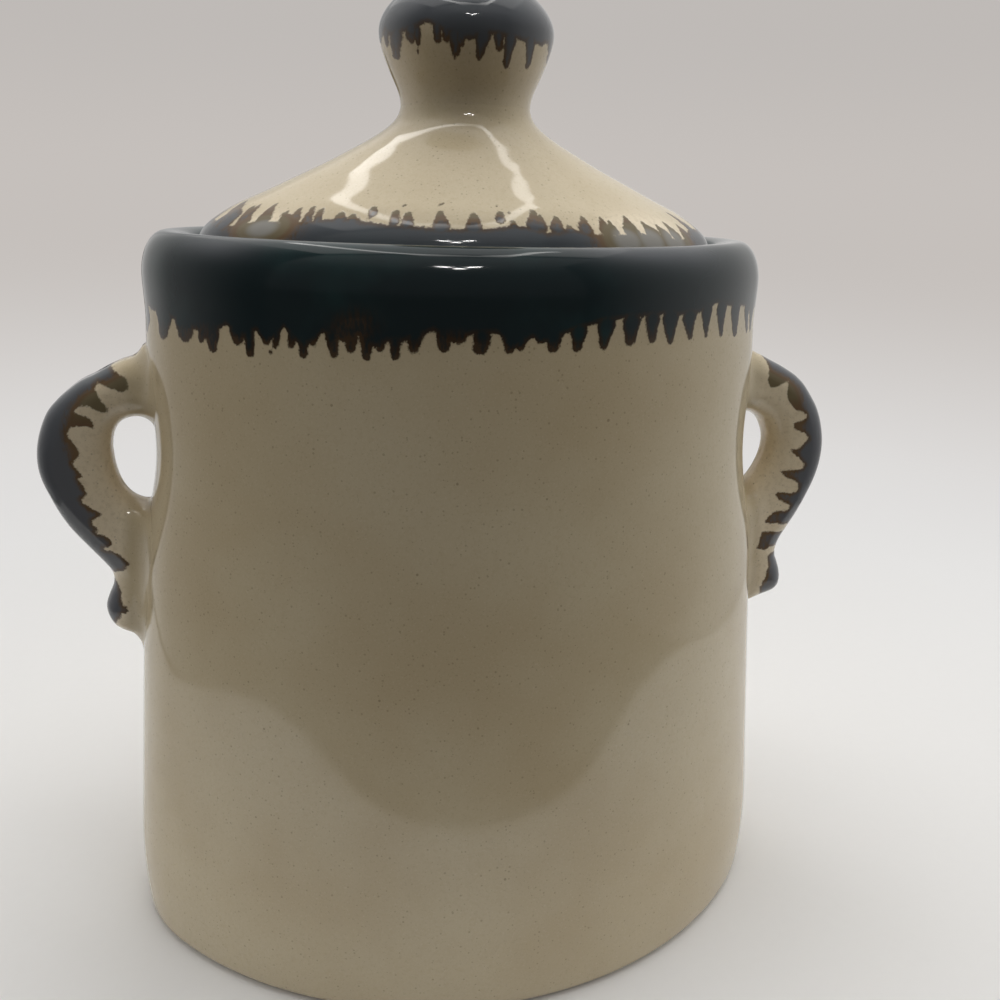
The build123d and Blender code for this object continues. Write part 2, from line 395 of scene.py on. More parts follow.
def hidden_strokes(start, end, line, seed, pitch, reach, root_half, tip_half, lean):
    """Strokes like the ones in the photograph for the rest of an edge, between two places."""
    rng = np.random.default_rng(seed)
    strokes = []
    place = start + pitch / 2
    while place < end - pitch / 3:
        length = rng.uniform(*reach) * rng.choice((1.0, 0.8, 1.15))
        tip = place + rng.uniform(-lean, lean) * length
        at = float(np.interp(place % perimeter, *line, period=perimeter))
        widths = (rng.uniform(*root_half), rng.uniform(*tip_half))
        strokes.append((place, at, tip, at + length, *widths))
        place += pitch * rng.uniform(0.72, 1.3)
    return strokes


def round_gap(along, place):
    """How far past a place each point is along the mid oval, the shorter way round."""
    return (along - place + perimeter / 2) % perimeter - perimeter / 2


def stroke_distance(along, out, strokes, squeeze):
    """Distance from the nearest stroke, negative inside, and how near its tip the place is."""
    nearest = np.full(along.shape, np.inf)
    toward_tip = np.zeros(along.shape)
    for start, root_out, end, tip_out, root, tip in strokes:
        across = round_gap(along, start) * squeeze
        dx = round_gap(end, start) * squeeze
        dy = tip_out - root_out
        t = np.clip((across * dx + (out - root_out) * dy) / (dx * dx + dy * dy + skin), 0, 1)
        gap = np.hypot(across - t * dx, out - root_out - t * dy) - (root + (tip - root) * t)
        toward_tip = np.where(gap < nearest, t, toward_tip)
        nearest = np.minimum(nearest, gap)
    return nearest, toward_tip


def edge_line(points, seed, mean, size):
    """The line the strokes start from: the points read off the photograph, then a slow wave."""
    rng = np.random.default_rng(seed)
    places = np.array([p[0] for p in points])
    first, last = places.min(), places.max()
    hidden = np.arange(last + line_step, first + perimeter - line_end_gap, line_step)
    levels = mean + size * np.sin(hidden / line_wave) + rng.uniform(-size, size, len(hidden))
    places = np.concatenate([places, hidden]) % perimeter
    levels = np.concatenate([[p[1] for p in points], levels])
    order = np.argsort(places)
    return places[order], levels[order]


def brushwork(along, heights, half_sizes, outward, seen, hidden, squeeze=1.0, widen=(1.0, 1.0)):
    """The brushed edge of a piece, at its points.

    seen has the strokes, the dots and the line they start from, read off the photograph. hidden
    has what is made up for the rest: the line, the strokes and their gap to the ones seen. squeeze
    is how much shorter the way round is than along the mid oval, and widen scales the strokes'
    widths at root and tip. The results are how far out each point is, how far past the line, its
    distance outside the paint, and how near a stroke's tip.
    """
    rows, dots, pixels = seen
    line_style, gap, stroke_style = hidden

    def read(table, root, tip):
        found = read_strokes(table, half_sizes, outward)
        return [(*mark[:4], mark[4] * squeeze * root, mark[5] * squeeze * tip) for mark in found]

    strokes = read(rows, *widen)
    points = [seen_on_ovals(x, y, half_sizes) for x, y in pixels]
    line = edge_line([(place, outward(height)) for place, height in points], **line_style)
    start, end = strokes[-1][0] + gap, strokes[0][0] + perimeter - gap
    strokes += hidden_strokes(start, end, line, **stroke_style)
    out = outward(heights)
    past = out - np.interp(along, *line, period=perimeter)
    near, toward_tip = stroke_distance(along, out, strokes, squeeze)
    dot_near, _ = stroke_distance(along, out, read(dots, 1.0, 1.0), squeeze)
    return out, past, np.minimum(np.minimum(past, near), dot_near), toward_tip


def near_spot(along, out, half_sizes, outward, spot):
    """1 at a spot, and 0 well away from it. Its row has its place and half its width and height."""
    x, y, half_width, half_height = spot
    place, height = seen_on_ovals(x, y, half_sizes)
    across = round_gap(along, place)
    return np.exp(-((across / half_width) ** 2) - ((out - outward(height)) / half_height) ** 2)


# ---------------------------------------------------------------- meshes


def stacked(rows):
    """The points and faces of a stack of rings, closed at both ends by a middle point.

    A ring may hold plain_step times as many points as the one next to it.
    """
    starts = np.concatenate([[0], np.cumsum([len(row) for row in rows])])
    verts = np.vstack(rows + [rows[0].mean(0)[None], rows[-1].mean(0)[None]])
    faces = []
    for i in range(len(rows) - 1):
        low, high = len(rows[i]), len(rows[i + 1])
        a, b = starts[i], starts[i + 1]
        count = min(low, high)
        for j in range(count):
            k = (j + 1) % count
            if low == high:
                faces.append((a + j, a + k, b + k, b + j))
            elif low < high:
                step = [b + (plain_step * k - n) % high for n in range(plain_step + 1)]
                faces.append((a + j, a + k, *step))
            else:
                step = [a + (plain_step * j + n) % low for n in range(plain_step + 1)]
                faces.append((*step, b + k, b + j))
    first, last = len(verts) - 2, len(verts) - 1
    for j in range(len(rows[0])):
        faces.append((first, (j + 1) % len(rows[0]), j))
    top = len(rows[-1])
    for j in range(top):
        faces.append((last, starts[-2] + j, starts[-2] + (j + 1) % top))
    return verts, faces


def row_values(rows, values):
    """One value for every point of a stack of rings, from one for each ring."""
    filled = [np.full(len(row), float(value)) for row, value in zip(rows, values)]
    return np.concatenate(filled + [[values[0], values[-1]]])


def row_alongs(rows):
    """How far round the mid oval every point of a stack of rings lies."""
    return np.concatenate([alongs[:: fine_columns // len(row)] for row in rows] + [[0.0, 0.0]])


def make_piece(name, verts, faces, paint, fade, bare, painted_haze, body, *nodes):
    """A visible piece from points in millimetres, with what the glaze reads at each point.

    paint is the distance outside the dark glaze, fade how thin that glaze is, and bare is 1 where
    there is no glaze. The last value is painted haze: painted glare and reflection that pale the
    cream and grey the dark.
    """
    paint = np.clip(paint, -paint_reach, paint_reach)
    mesh = bpy.data.meshes.new(name)
    faces = [tuple(map(int, face)) for face in faces]
    mesh.from_pydata((np.asarray(verts) * MM).tolist(), [], faces)
    mesh.polygons.foreach_set("use_smooth", [True] * len(mesh.polygons))
    for key, values in (("paint", paint), ("fade", fade), ("bare", bare), ("painted_haze", painted_haze)):
        layer = mesh.attributes.new(key, "FLOAT", "POINT")
        layer.data.foreach_set("value", np.array(values, np.float32))
    mesh.update()
    piece = bpy.data.objects.new(name, mesh)
    bpy.context.collection.objects.link(piece)
    piece.data.materials.append(glaze)
    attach(piece, body)
    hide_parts(*nodes)
    return piece


# ---------------------------------------------------------------- glaze

cream = (0.585, 0.500, 0.342)
cream_deep = (0.522, 0.428, 0.276)
cream_light = (0.70, 0.615, 0.46)
# The paler cream that painted glare and reflection turn the ground towards.
cream_pale = (0.81, 0.705, 0.53)
teal_black = (0.0180, 0.0275, 0.0300)
teal_lit = (0.021, 0.042, 0.043)
# The grey that painted glare and reflection turn the dark glaze towards.
haze_grey = (0.115, 0.120, 0.132)
brown_thin = (0.050, 0.030, 0.017)
brown_pale = (0.150, 0.098, 0.056)
olive_thin = (0.165, 0.134, 0.078)
milky_tint = (0.250, 0.240, 0.215)
speck_dark = (0.12, 0.085, 0.05)
bisque = (0.66, 0.58, 0.46)
glaze_sheen, bisque_rough, glaze_ior = (0.05, 0.10), 0.62, 1.52
# The surface's small heights, in metres.
swell_height, paint_height, pit_depth, grain_height = 0.0001, 0.00006, 0.00003, 0.0001


def maths(tree, operation, a, b=None, clamp=False):
    """A maths node on sockets or numbers."""
    made = tree.nodes.new("ShaderNodeMath")
    made.operation, made.use_clamp = operation, clamp
    for socket, value in zip(made.inputs, (a, b)):
        if value is None:
            continue
        if isinstance(value, (int, float)):
            socket.default_value = value
        else:
            tree.links.new(value, socket)
    return made.outputs[0]


def ramp(tree, value, low, high):
    """0 below low and 1 above high, smooth in between. low may be above high."""
    made = tree.nodes.new("ShaderNodeMapRange")
    made.interpolation_type = "SMOOTHSTEP"
    tree.links.new(value, made.inputs["Value"])
    flipped = low > high
    made.inputs["From Min"].default_value = min(low, high)
    made.inputs["From Max"].default_value = max(low, high)
    made.inputs["To Min"].default_value = 1 if flipped else 0
    made.inputs["To Max"].default_value = 0 if flipped else 1
    return made.outputs["Result"]


def blend_colours(tree, share, a, b):
    """From colour a to colour b by a share."""
    made = tree.nodes.new("ShaderNodeMix")
    made.data_type = "RGBA"
    for key, value in (("Factor", share), ("A", a), ("B", b)):
        socket = [s for s in made.inputs if s.name == key and s.enabled][0]
        if isinstance(value, tuple):
            socket.default_value = (*value, 1)
        elif isinstance(value, (int, float)):
            socket.default_value = value
        else:
            tree.links.new(value, socket)
    return [s for s in made.outputs if s.enabled][0]


def noise(tree, where, scale, detail=3, rough=0.5):
    """Soft noise from 0 to 1."""
    made = tree.nodes.new("ShaderNodeTexNoise")
    made.inputs["Scale"].default_value = scale
    made.inputs["Detail"].default_value = detail
    made.inputs["Roughness"].default_value = rough
    tree.links.new(where, made.inputs["Vector"])
    return made.outputs["Fac"]


def stretched(tree, where, scale):
    """Coordinates scaled by a different amount along each axis."""
    made = tree.nodes.new("ShaderNodeMapping")
    made.inputs["Scale"].default_value = scale
    tree.links.new(where, made.inputs["Vector"])
    return made.outputs["Vector"]


def specks(tree, where, scale, size, share):
    """1 on small round specks, which are in only a share of the cells."""
    cells = tree.nodes.new("ShaderNodeTexVoronoi")
    cells.inputs["Scale"].default_value = scale
    tree.links.new(where, cells.inputs["Vector"])
    parts = tree.nodes.new("ShaderNodeSeparateColor")
    tree.links.new(cells.outputs["Color"], parts.inputs["Color"])
    chosen = maths(tree, "LESS_THAN", parts.outputs[0], share)
    reach = maths(tree, "MULTIPLY", maths(tree, "ADD", parts.outputs[1], 0.35), size)
    near = maths(tree, "SUBTRACT", reach, cells.outputs["Distance"])
    return maths(tree, "MULTIPLY", ramp(tree, near, 0.0, size * 0.5), chosen)


def attribute(tree, name):
    """A value kept at each point of the mesh."""
    made = tree.nodes.new("ShaderNodeAttribute")
    made.attribute_name = name
    return made.outputs["Fac"]


def make_glaze():
    """Cream glaze with iron specks, dark brushed glaze where paint is under 0, bare clay below."""
    material = bpy.data.materials.new("cream_and_teal_glaze")
    material.use_nodes = True
    tree = material.node_tree
    shader = tree.nodes["Principled BSDF"]
    where = tree.nodes.new("ShaderNodeTexCoord").outputs["Object"]

    patches = noise(tree, where, 26, 3, 0.55)
    mottle = noise(tree, where, 900, 2, 0.6)
    ground = blend_colours(tree, ramp(tree, patches, 0.35, 0.7), cream, cream_deep)
    # Painted haze: painted glare and reflection pale the cream.
    haze_share = attribute(tree, "painted_haze")
    ground = blend_colours(tree, ramp(tree, haze_share, 0.5, 1.35), ground, cream_pale)
    sand = noise(tree, where, 2400, 2, 0.75)
    flecks = (
        (ramp(tree, mottle, 0.45, 0.75), 0.4, cream_deep),
        (ramp(tree, sand, 0.55, 0.8), 0.35, cream_light),
        (ramp(tree, sand, 0.42, 0.2), 0.30, speck_dark),
        (specks(tree, where, 1250, 0.26, 0.3), 0.30, speck_dark),
        (specks(tree, where, 420, 0.11, 0.05), 0.45, speck_dark),
    )
    for share, strength, tint in flecks:
        ground = blend_colours(tree, maths(tree, "MULTIPLY", share, strength), ground, tint)

    streaks = noise(tree, stretched(tree, where, (1, 1, 0.35)), 1500, 2, 0.6)
    ragged = noise(tree, where, 620, 3, 0.6)
    frayed = noise(tree, where, 2100, 2, 0.6)
    edge = attribute(tree, "paint")
    for field, size in ((ragged, 0.9), (streaks, 0.35), (frayed, 0.7)):
        swing = maths(tree, "MULTIPLY", maths(tree, "SUBTRACT", field, 0.5), size)
        edge = maths(tree, "ADD", edge, swing)
    cover = ramp(tree, edge, 0.24, -0.18)
    body = ramp(tree, edge, -0.1, -1.2)
    faded = attribute(tree, "fade")
    pools = noise(tree, where, 48, 3, 0.6)
    dark = blend_colours(tree, ramp(tree, pools, 0.45, 0.75), teal_black, teal_lit)
    # The same painted haze greys the dark glaze and pales its thin parts.
    dark = blend_colours(tree, haze_share, dark, haze_grey)
    thin = blend_colours(tree, maths(tree, "MULTIPLY", haze_share, 0.8), brown_thin, brown_pale)
    # The milky tint is reached only at the lid's milky spots.
    for low, high, tint in ((0.7, 1.1, brown_pale), (1.3, 1.8, olive_thin), (2.1, 3.0, milky_tint)):
        thin = blend_colours(tree, ramp(tree, faded, low, high), thin, tint)
    thin_share = maths(tree, "MULTIPLY", maths(tree, "SUBTRACT", 1.0, body), 0.75)
    evenly = maths(tree, "MAXIMUM", ramp(tree, streaks, 0.25, 0.75), ramp(tree, faded, 0.6, 1.3))
    tips = maths(tree, "MULTIPLY", ramp(tree, faded, 0.15, 1.0), evenly)
    thin_share = maths(tree, "ADD", thin_share, tips, clamp=True)
    paint = blend_colours(tree, thin_share, dark, thin)
    colour = blend_colours(tree, cover, ground, paint)

    unglazed = ramp(tree, attribute(tree, "bare"), 0.4, 0.6)
    clay = blend_colours(tree, ramp(tree, mottle, 0.4, 0.7), bisque, cream_deep)
    colour = blend_colours(tree, unglazed, colour, clay)
    tree.links.new(colour, shader.inputs["Base Color"])

    sheen = noise(tree, where, 75, 2, 0.5)
    glossy = tree.nodes.new("ShaderNodeMapRange")
    tree.links.new(sheen, glossy.inputs["Value"])
    glossy.inputs["To Min"].default_value, glossy.inputs["To Max"].default_value = glaze_sheen
    rough = tree.nodes.new("ShaderNodeMix")
    tree.links.new(unglazed, rough.inputs["Factor"])
    tree.links.new(glossy.outputs["Result"], rough.inputs["A"])
    rough.inputs["B"].default_value = bisque_rough
    tree.links.new(rough.outputs["Result"], shader.inputs["Roughness"])
    shader.inputs["IOR"].default_value = glaze_ior

    swell = noise(tree, where, 70, 2, 0.4)
    pits = specks(tree, where, 260, 0.10, 0.12)
    height = maths(tree, "MULTIPLY", swell, swell_height)
    height = maths(tree, "ADD", height, maths(tree, "MULTIPLY", cover, paint_height))
    height = maths(tree, "SUBTRACT", height, maths(tree, "MULTIPLY", pits, pit_depth))
    grain = maths(tree, "MULTIPLY", maths(tree, "MULTIPLY", mottle, unglazed), grain_height)
    bump = tree.nodes.new("ShaderNodeBump")
    bump.inputs["Strength"].default_value = 0.5
    bump.inputs["Distance"].default_value = 1.0
    tree.links.new(maths(tree, "ADD", height, grain), bump.inputs["Height"])
    tree.links.new(bump.outputs["Normal"], shader.inputs["Normal"])
    return material


glaze = make_glaze()


# ---------------------------------------------------------------- jar body

bead_up = jar_height - bead_drop
bead_start = jar_height - bead_height
bead_offset = wall_offset(bead_up) + bead_bulge
crest_offset = bead_offset - crest_inset
opening_offset = bead_offset - rim_width
mouth_offset = opening_offset - ledge_width
ledge_height = jar_height - ledge_depth
base_offset = wall_offset(0) - heel_inset
foot_offset = base_offset - base_round
foot_inner = foot_offset - foot_width
inner_low = floor_thick + floor_round
inner_low_offset = wall_offset(inner_low) - wall_thick
inner_top = ledge_height - ledge_thick - ledge_under
inner_top_offset = wall_offset(inner_top) - wall_thick
floor_offset = inner_low_offset - floor_round
down, up = (wall_flare / jar_height, -1), (-wall_flare / jar_height, 1)

# Strokes of the rim's dark band from left to right, in the photograph's pixels: the root, the
# tip, half the width at both, and the top of the gap on the right.
rim_rows = (
    (147, 316, 147, 327, 4.5, 2.0, 153, 310),
    (163, 316, 163, 333, 8.0, 5.0, 171, 318),
    (184, 322, 186, 337, 10.0, 8.0, 198, 331),
    (203, 330, 200, 341, 4.5, 3.0, 206, 338),
    (211, 328, 213, 351, 9.0, 4.0, 226, 325),
    (237, 328, 238, 343, 8.5, 6.5, 243, 338),
    (248, 330, 250, 356, 6.5, 4.0, 256, 330),
    (265, 332, 267, 344, 8.5, 5.0, 271, 342),
    (276, 330, 275, 349, 5.0, 3.0, 284, 328),
    (292, 332, 291, 348, 5.5, 3.5, 297, 342),
    (303, 332, 304, 358, 6.5, 4.5, 309, 344),
    (314, 332, 313, 346, 6.0, 3.5, 322, 333),
    (332, 336, 334, 358, 7.5, 4.0, 343, 342),
    (351, 338, 351, 352, 6.5, 5.0, 359, 336),
    (367, 338, 366, 361, 8.0, 4.0, 375, 348),
    (380, 340, 380, 351, 6.0, 4.0, 387, 342),
    (395, 340, 395, 360, 6.5, 4.0, 403, 342),
    (416, 330, 413, 353, 10.0, 5.5, 434, 331),
    (444, 332, 444, 352, 8.0, 6.5, 454, 343),
    (461, 332, 461, 344, 8.0, 6.5, 470, 335),
    (482, 336, 481, 354, 9.0, 8.5, 498, 334),
    (512, 334, 508, 353, 12.0, 5.5, 514, 350),
    (521, 334, 520, 351, 9.0, 5.0, 532, 338),
    (541, 338, 541, 344, 8.0, 4.5, 546, 343),
    (554, 336, 553, 352, 9.0, 6.5, 568, 333),
    (579, 332, 577, 351, 9.0, 5.0, 595, 324),
    (607, 326, 603, 349, 9.5, 4.0, 620, 319),
    (632, 322, 630, 345, 9.0, 5.0, 645, 317),
    (653, 320, 652, 342, 7.5, 3.5, 663, 315),
    (671, 318, 670, 342, 8.5, 3.5, 682, 315),
    (690, 318, 690, 338, 7.0, 2.5, 700, 313),
    (707, 312, 706, 336, 5.5, 1.5, 716, 304),
    (722, 308, 721, 334, 5.0, 2.0, 730, 305),
    (736, 308, 735, 332, 4.5, 2.5, 742, 305),
    (747, 308, 747, 330, 2.5, 1.2, 751, 312),
)
rim_splashes = ((271, 352, 271, 352, 1.6, 1.6),)
# How the band goes on where the photograph doesn't show it: its line, the gap to the strokes
# seen, and the strokes.
rim_line = {"seed": 3, "mean": 13.4, "size": 0.7}
rim_strokes_gap = 2
rim_strokes = {
    **{"seed": 11, "pitch": 5.4, "reach": (2.6, 4.6)},
    **{"root_half": (2.0, 2.7), "tip_half": (0.7, 1.6), "lean": 0.12},
}
# Where the band is thin and shows brown: the place in pixels, and its half width and height.
rim_thin_spots = (
    *((358, 322, 5.5, 3.4), (346, 338, 4.0, 2.4), (205, 330, 4.0, 2.0), (455, 338, 4.0, 2.0)),
)
# Where a painted reflection pales the band's crest: the place in pixels, and its half width and
# height.
rim_reflection_spots = (
    *((615, 247, 9.0, 2.0), (655, 249, 9.0, 2.6), (695, 251, 9.0, 2.8), (215, 246, 9.0, 2.0)),
)
rim_thin_fade, rim_most_fade, rim_reflection_haze, rim_most_haze = 0.75, 0.8, 0.5, 0.6
# The heights between which the wall's rings are close together and hold the most points, and the
# height where the dark glaze ends inside the rim.
band_low, band_top, inner_edge_height = 131.5, 141.5, 148.6


def plain(offset, height):
    """A ring that lies a set distance outside the mid oval, with the plain number of points."""
    return oval_ring(mid_half_length + offset, mid_half_depth + offset, height, plain_step)


def fine(offset, height):
    """The same with the fine number of points."""
    return oval_ring(mid_half_length + offset, mid_half_depth + offset, height)


def disc_rings(offset, height, count, outward=True):
    """Rings from near the middle out to an oval, for a floor or an underside."""
    shares = np.linspace(0.04, 1, count, endpoint=False)
    rings = []
    for share in shares if outward else shares[::-1]:
        ring = plain(offset, height)
        ring[:, :2] *= share
        rings.append(ring)
    return rings


def build_jar():
    """The jar from the middle of its underside, up the outside, over the rim and down inside."""
    belly = (wall_offset(heel_height) - skin, heel_height)
    heel, heel_way = tangent_arc(belly, down, (base_offset - skin, base_round), 14)
    heel_corner, _ = tangent_arc(heel[-1], heel_way, (foot_offset, 0), 9)
    recess = rounded_corner((foot_inner, foot_recess), (1, 0), (0, -1), edge_round)
    foot_lip = rounded_corner((foot_inner, 0), (0, -1), (1, 0), edge_round)
    stops = (heel_height, 80, band_low, bead_start)
    stops = [(wall_offset(height) - skin, height) for height in stops]
    wall = joined(straight(*stops[:2], 6), straight(*stops[1:3], 2.2))
    band = straight(*stops[2:], 0.4)
    bead = bend(stops[3], up, (bead_offset - skin, bead_up), (0, 1), 23)
    crest = ellipse((crest_offset, bead_up), crest_inset - skin, bead_drop, 0, 90, 17)
    lip_height = jar_height - rim_inner_drop
    lip_run = crest_offset - opening_offset
    lip = ellipse((crest_offset, lip_height), lip_run, rim_inner_drop, 90, 90, 10)
    opening_low = (opening_offset, ledge_height + edge_round)
    opening = straight((opening_offset, lip_height), opening_low, 1.2)
    ledge_low = ledge_height - ledge_thick
    ledge = joined(
        rounded_corner((opening_offset, ledge_height), (0, -1), (-1, 0), edge_round),
        rounded_corner((mouth_offset, ledge_height), (-1, 0), (0, -1), edge_round),
        rounded_corner((mouth_offset, ledge_low), (0, -1), (0.3, -1), edge_round),
    )
    under = bend(ledge[-1], (0.3, -1), (inner_top_offset, inner_top), (0.3, -1), 8)
    inside = straight((inner_top_offset, inner_top), (inner_low_offset, inner_low), 20)
    cove = ellipse((floor_offset, inner_low), floor_round, floor_round, 0, -90, 10)

    outside = joined(recess, foot_lip, heel_corner[::-1], heel[::-1], wall)
    top_band = joined(band, bead)
    inner = joined(lip, opening, ledge, under, inside, cove)
    split_at = int(np.argmax(bead[:, 1] > band_top)) + len(band) - 1
    rows = disc_rings(foot_inner, foot_recess, 8)
    under_count = len(rows)
    rows += [plain(*point) for point in outside]
    rows += [fine(*point) for point in top_band[1:split_at]]
    rows += [plain(*point) for point in top_band[split_at:]]
    rows += [plain(*point) for point in crest[1:]]
    outer_count = len(rows)
    rows += [plain(*point) for point in inner[1:]]
    rows += disc_rings(floor_offset, floor_thick, 8, outward=False)
    verts, faces = stacked(rows)
    is_outer = row_values(rows, np.arange(len(rows)) < outer_count) > 0.5
    x, y, z = verts.T
    pressed = np.where(x < 0, -dent("left", y, z), dent("right", y, z))
    verts[:, 0] = x - np.where(np.abs(x) > mid_half_length / 2, pressed, 0)

    profile = joined(heel[::-1], wall, band, bead, crest)
    lowest = heel[-1][1]

    def half_sizes(height):
        offset = np.interp(height, profile[:, 1], profile[:, 0])
        missing = (height < lowest) | (height > jar_height)
        offset = np.where(missing, -mid_half_depth, offset)
        return mid_half_length + offset, mid_half_depth + offset

    def outward(height):
        return jar_height - height

    along = row_alongs(rows)
    seen = (rim_rows, rim_splashes, [row[6:] for row in rim_rows])
    hidden = (rim_line, rim_strokes_gap, rim_strokes)
    out, past, outer_paint, toward_tip = brushwork(along, z, half_sizes, outward, seen, hidden)
    inner_edge = inner_edge_height + 0.5 * np.sin(along / 9) + 0.4 * np.sin(along / 3.7)
    paint = np.where(is_outer, outer_paint, inner_edge - z)

    def spots(places):
        return sum(near_spot(along, out, half_sizes, outward, place) for place in places)

    fade = np.where(past > 0, tip_fade * toward_tip, 0)
    fade = np.where(is_outer, fade + rim_thin_fade * spots(rim_thin_spots), 0)
    fade = np.minimum(fade, rim_most_fade)
    # Painted reflection on the crest at its milky spots.
    painted_haze = np.minimum(rim_reflection_haze * spots(rim_reflection_spots), rim_most_haze)
    bare = np.zeros(len(rows))
    foot_first = under_count + len(recess)
    bare[foot_first : foot_first + len(foot_lip) + 5] = 1
    bare = row_values(rows, bare)
    make_piece("jar_body_glazed", verts, faces, paint, fade, bare, painted_haze, "jar", "jar_body")


build_jar()


# ---------------------------------------------------------------- ears

# The inner edge of the dark paint on each ear, down from the top, in pixels, and on its ball.
ear_edges = {
    "left": (
        *((127, 345), (124, 358), (108, 367), (112, 371), (120, 376), (127, 379), (129, 385)),
        *((126, 391), (121, 392), (116, 390), (109, 388), (103, 385), (97, 383), (94, 388)),
        *((97, 393), (101, 399), (104, 403), (108, 410), (108, 412), (102, 412), (97, 411)),
        *((93, 408), (89, 406), (82, 405), (76, 408), (74, 411), (78, 414), (85, 416), (91, 419)),
        *((93, 425), (94, 428), (88, 426), (78, 425), (72, 426), (69, 430), (67, 433), (68, 437)),
        *((73, 441), (77, 446), (81, 452), (78, 456), (76, 460), (73, 463), (75, 467), (79, 471)),
        *((82, 476), (78, 478), (82, 484), (85, 488), (87, 493), (85, 497), (81, 499), (83, 503)),
        *((89, 506), (93, 510), (100, 512), (103, 514), (100, 516), (96, 518), (92, 520)),
        *((93, 524), (97, 528), (100, 531), (95, 532), (97, 534), (103, 535), (110, 539)),
        *((112, 543), (110, 546), (104, 548), (103, 550), (111, 551), (119, 554), (127, 560)),
        *((131, 563), (127, 566), (123, 570), (119, 572), (114, 575), (100, 577)),
    ),
    "right": (
        *((766, 345), (768, 358), (770, 364), (769, 370), (768, 376), (767, 382), (769, 386)),
        *((773, 388), (778, 386), (781, 384), (786, 381), (789, 381), (787, 387), (786, 392)),
        *((787, 399), (792, 407), (797, 410), (802, 412), (806, 414), (805, 418), (800, 421)),
        *((795, 422), (792, 423), (793, 428), (799, 431), (805, 434), (808, 438), (804, 442)),
        *((800, 447), (796, 449), (791, 449), (792, 453), (797, 456), (800, 460), (804, 464)),
        *((802, 468), (795, 470), (787, 470), (781, 471), (784, 476), (791, 479), (796, 482)),
        *((798, 485), (797, 490), (791, 493), (784, 492), (777, 492), (775, 495), (778, 500)),
        *((784, 502), (790, 505), (788, 509), (784, 511), (777, 511), (772, 512), (768, 517)),
        *((765, 522), (769, 524), (776, 523), (781, 524), (790, 525), (790, 532), (777, 532)),
        *((770, 531), (762, 532), (760, 537), (759, 543), (755, 548), (759, 549), (764, 550)),
        *((770, 547), (785, 547)),
    ),
}
ball_edges = {
    "left": (
        *((100, 583), (114, 583), (118, 587), (121, 594), (121, 602), (123, 606), (127, 608)),
        *((128, 612), (125, 614), (121, 615), (120, 619), (117, 622), (113, 632), (100, 632)),
    ),
    "right": (
        *((785, 553), (769, 554), (768, 558), (769, 565), (767, 572), (765, 579), (762, 585)),
        *((760, 588), (762, 596), (785, 596)),
    ),
}
outer_pixels = {"left": 10, "right": 850}
sides = {"left": -1, "right": 1}
# How deep the full dark glaze is before the strokes thin out, and how olive they are, by height.
full_depths = (
    *((60, 3.0), (78, 1.6), (90, 3.6), (104, 6.5), (110, 4.2), (116, 2.2), (120, 1.0), (127, 0.6)),
)
olive_shares = ((60, 0.6), (95, 0.8), (106, 1.1), (114, 1.3), (119, 2.0))
# How far the paint stays off the wall, and how far in it takes to thin out.
ear_paint_gap, ear_thin_run = 1.6, 2.5
# How much painted glare pales an ear's cream and greys its dark, as places and values: by depth
# in from its outline, by height, and by distance from the wall.
ear_haze_by_depth, ear_haze_by_height = ((0, 4), (0.65, 1.0)), ((73, 98), (0.45, 0.0))
ear_haze_by_wall = ((0.5, 5.5), (0, 1))
# The ears' outlines, in pixels, from the top root round to the foot.
outline_pixels = {
    "left": (
        *((143, 345), (135, 354), (121, 359), (108, 365), (94.7, 372.5), (81, 379), (69.7, 387)),
        *((58, 397), (48, 408.5), (42, 421.7), (38, 436.7), (36.7, 450), (38, 465), (42, 478)),
        *((49.7, 493), (59.7, 510), (71, 525), (84.7, 539), (96, 550), (106, 560), (112.6, 568)),
        *((114.5, 575), (113.6, 582), (109.7, 591.7), (107, 602), (109.7, 613), (116, 621.5)),
        *((125, 626.7), (134.5, 630), (141, 635), (146, 642)),
    ),
    "right": (
        *((748, 348), (757, 352.5), (766, 357.5), (778, 364), (791, 372.5), (801, 380)),
        *((811, 391.7), (818.8, 403), (823.8, 415), (826.7, 428), (827.5, 438), (826.4, 450)),
        *((823, 463), (817, 476.7), (808, 491.7), (798, 506.7), (786, 521.7), (777, 533)),
        *((772, 542), (771.5, 550), (774.5, 556.7), (777.5, 565), (778.3, 573), (776, 580)),
        *((771, 585), (763, 589), (754, 592.5), (744, 597)),
    ),
}
# The finger holes' edges on the ears' front faces, in pixels.
hole_pixels = {
    "left": (
        *((108, 455), (108.5, 444), (112, 433), (119, 425), (130, 421), (143, 422), (154, 430)),
        *((161, 445), (163, 462), (162, 482), (158, 500), (148, 509), (137, 507), (126, 500)),
        *((117, 488), (111, 472)),
    ),
    "right": (
        *((732, 450), (735, 429), (741, 418), (750, 414.5), (761, 416), (770, 423), (775, 433)),
        *((777, 444), (775, 457), (769, 471), (760, 484), (750, 494), (741, 496), (735, 482)),
    ),
}


def ear_outline(hand):
    """An ear's outline, seen from the front, as for an ear on the right."""
    seen = [seen_on_plane(x, y, 0) * (sides[hand], 1) for x, y in outline_pixels[hand]]
    sweep = spline(seen, 150)
    limit = cad_half_length - ear_box_gap
    turn = mid_half_length + ear_full_share * ear_reach
    past_turn = sweep[:, 0] - turn
    within = turn + past_turn * (limit - turn) / past_turn.max()
    sweep[:, 0] = np.where(past_turn > 0, within, sweep[:, 0])
    low, high = sweep[-1], sweep[0]
    inner = [(wall_x(low[1]) - overrun, low[1]), (wall_x(high[1]) - overrun, high[1])]
    return np.vstack([sweep, inner])


def hole_outline(hand):
    """An ear's finger hole, seen from the front, as for an ear on the right."""
    face = -ear_half_thick
    edge = [seen_on_plane(x, y, face) * (sides[hand], 1) for x, y in hole_pixels[hand]]
    return spline(edge + edge[:1], 60)[:-1]


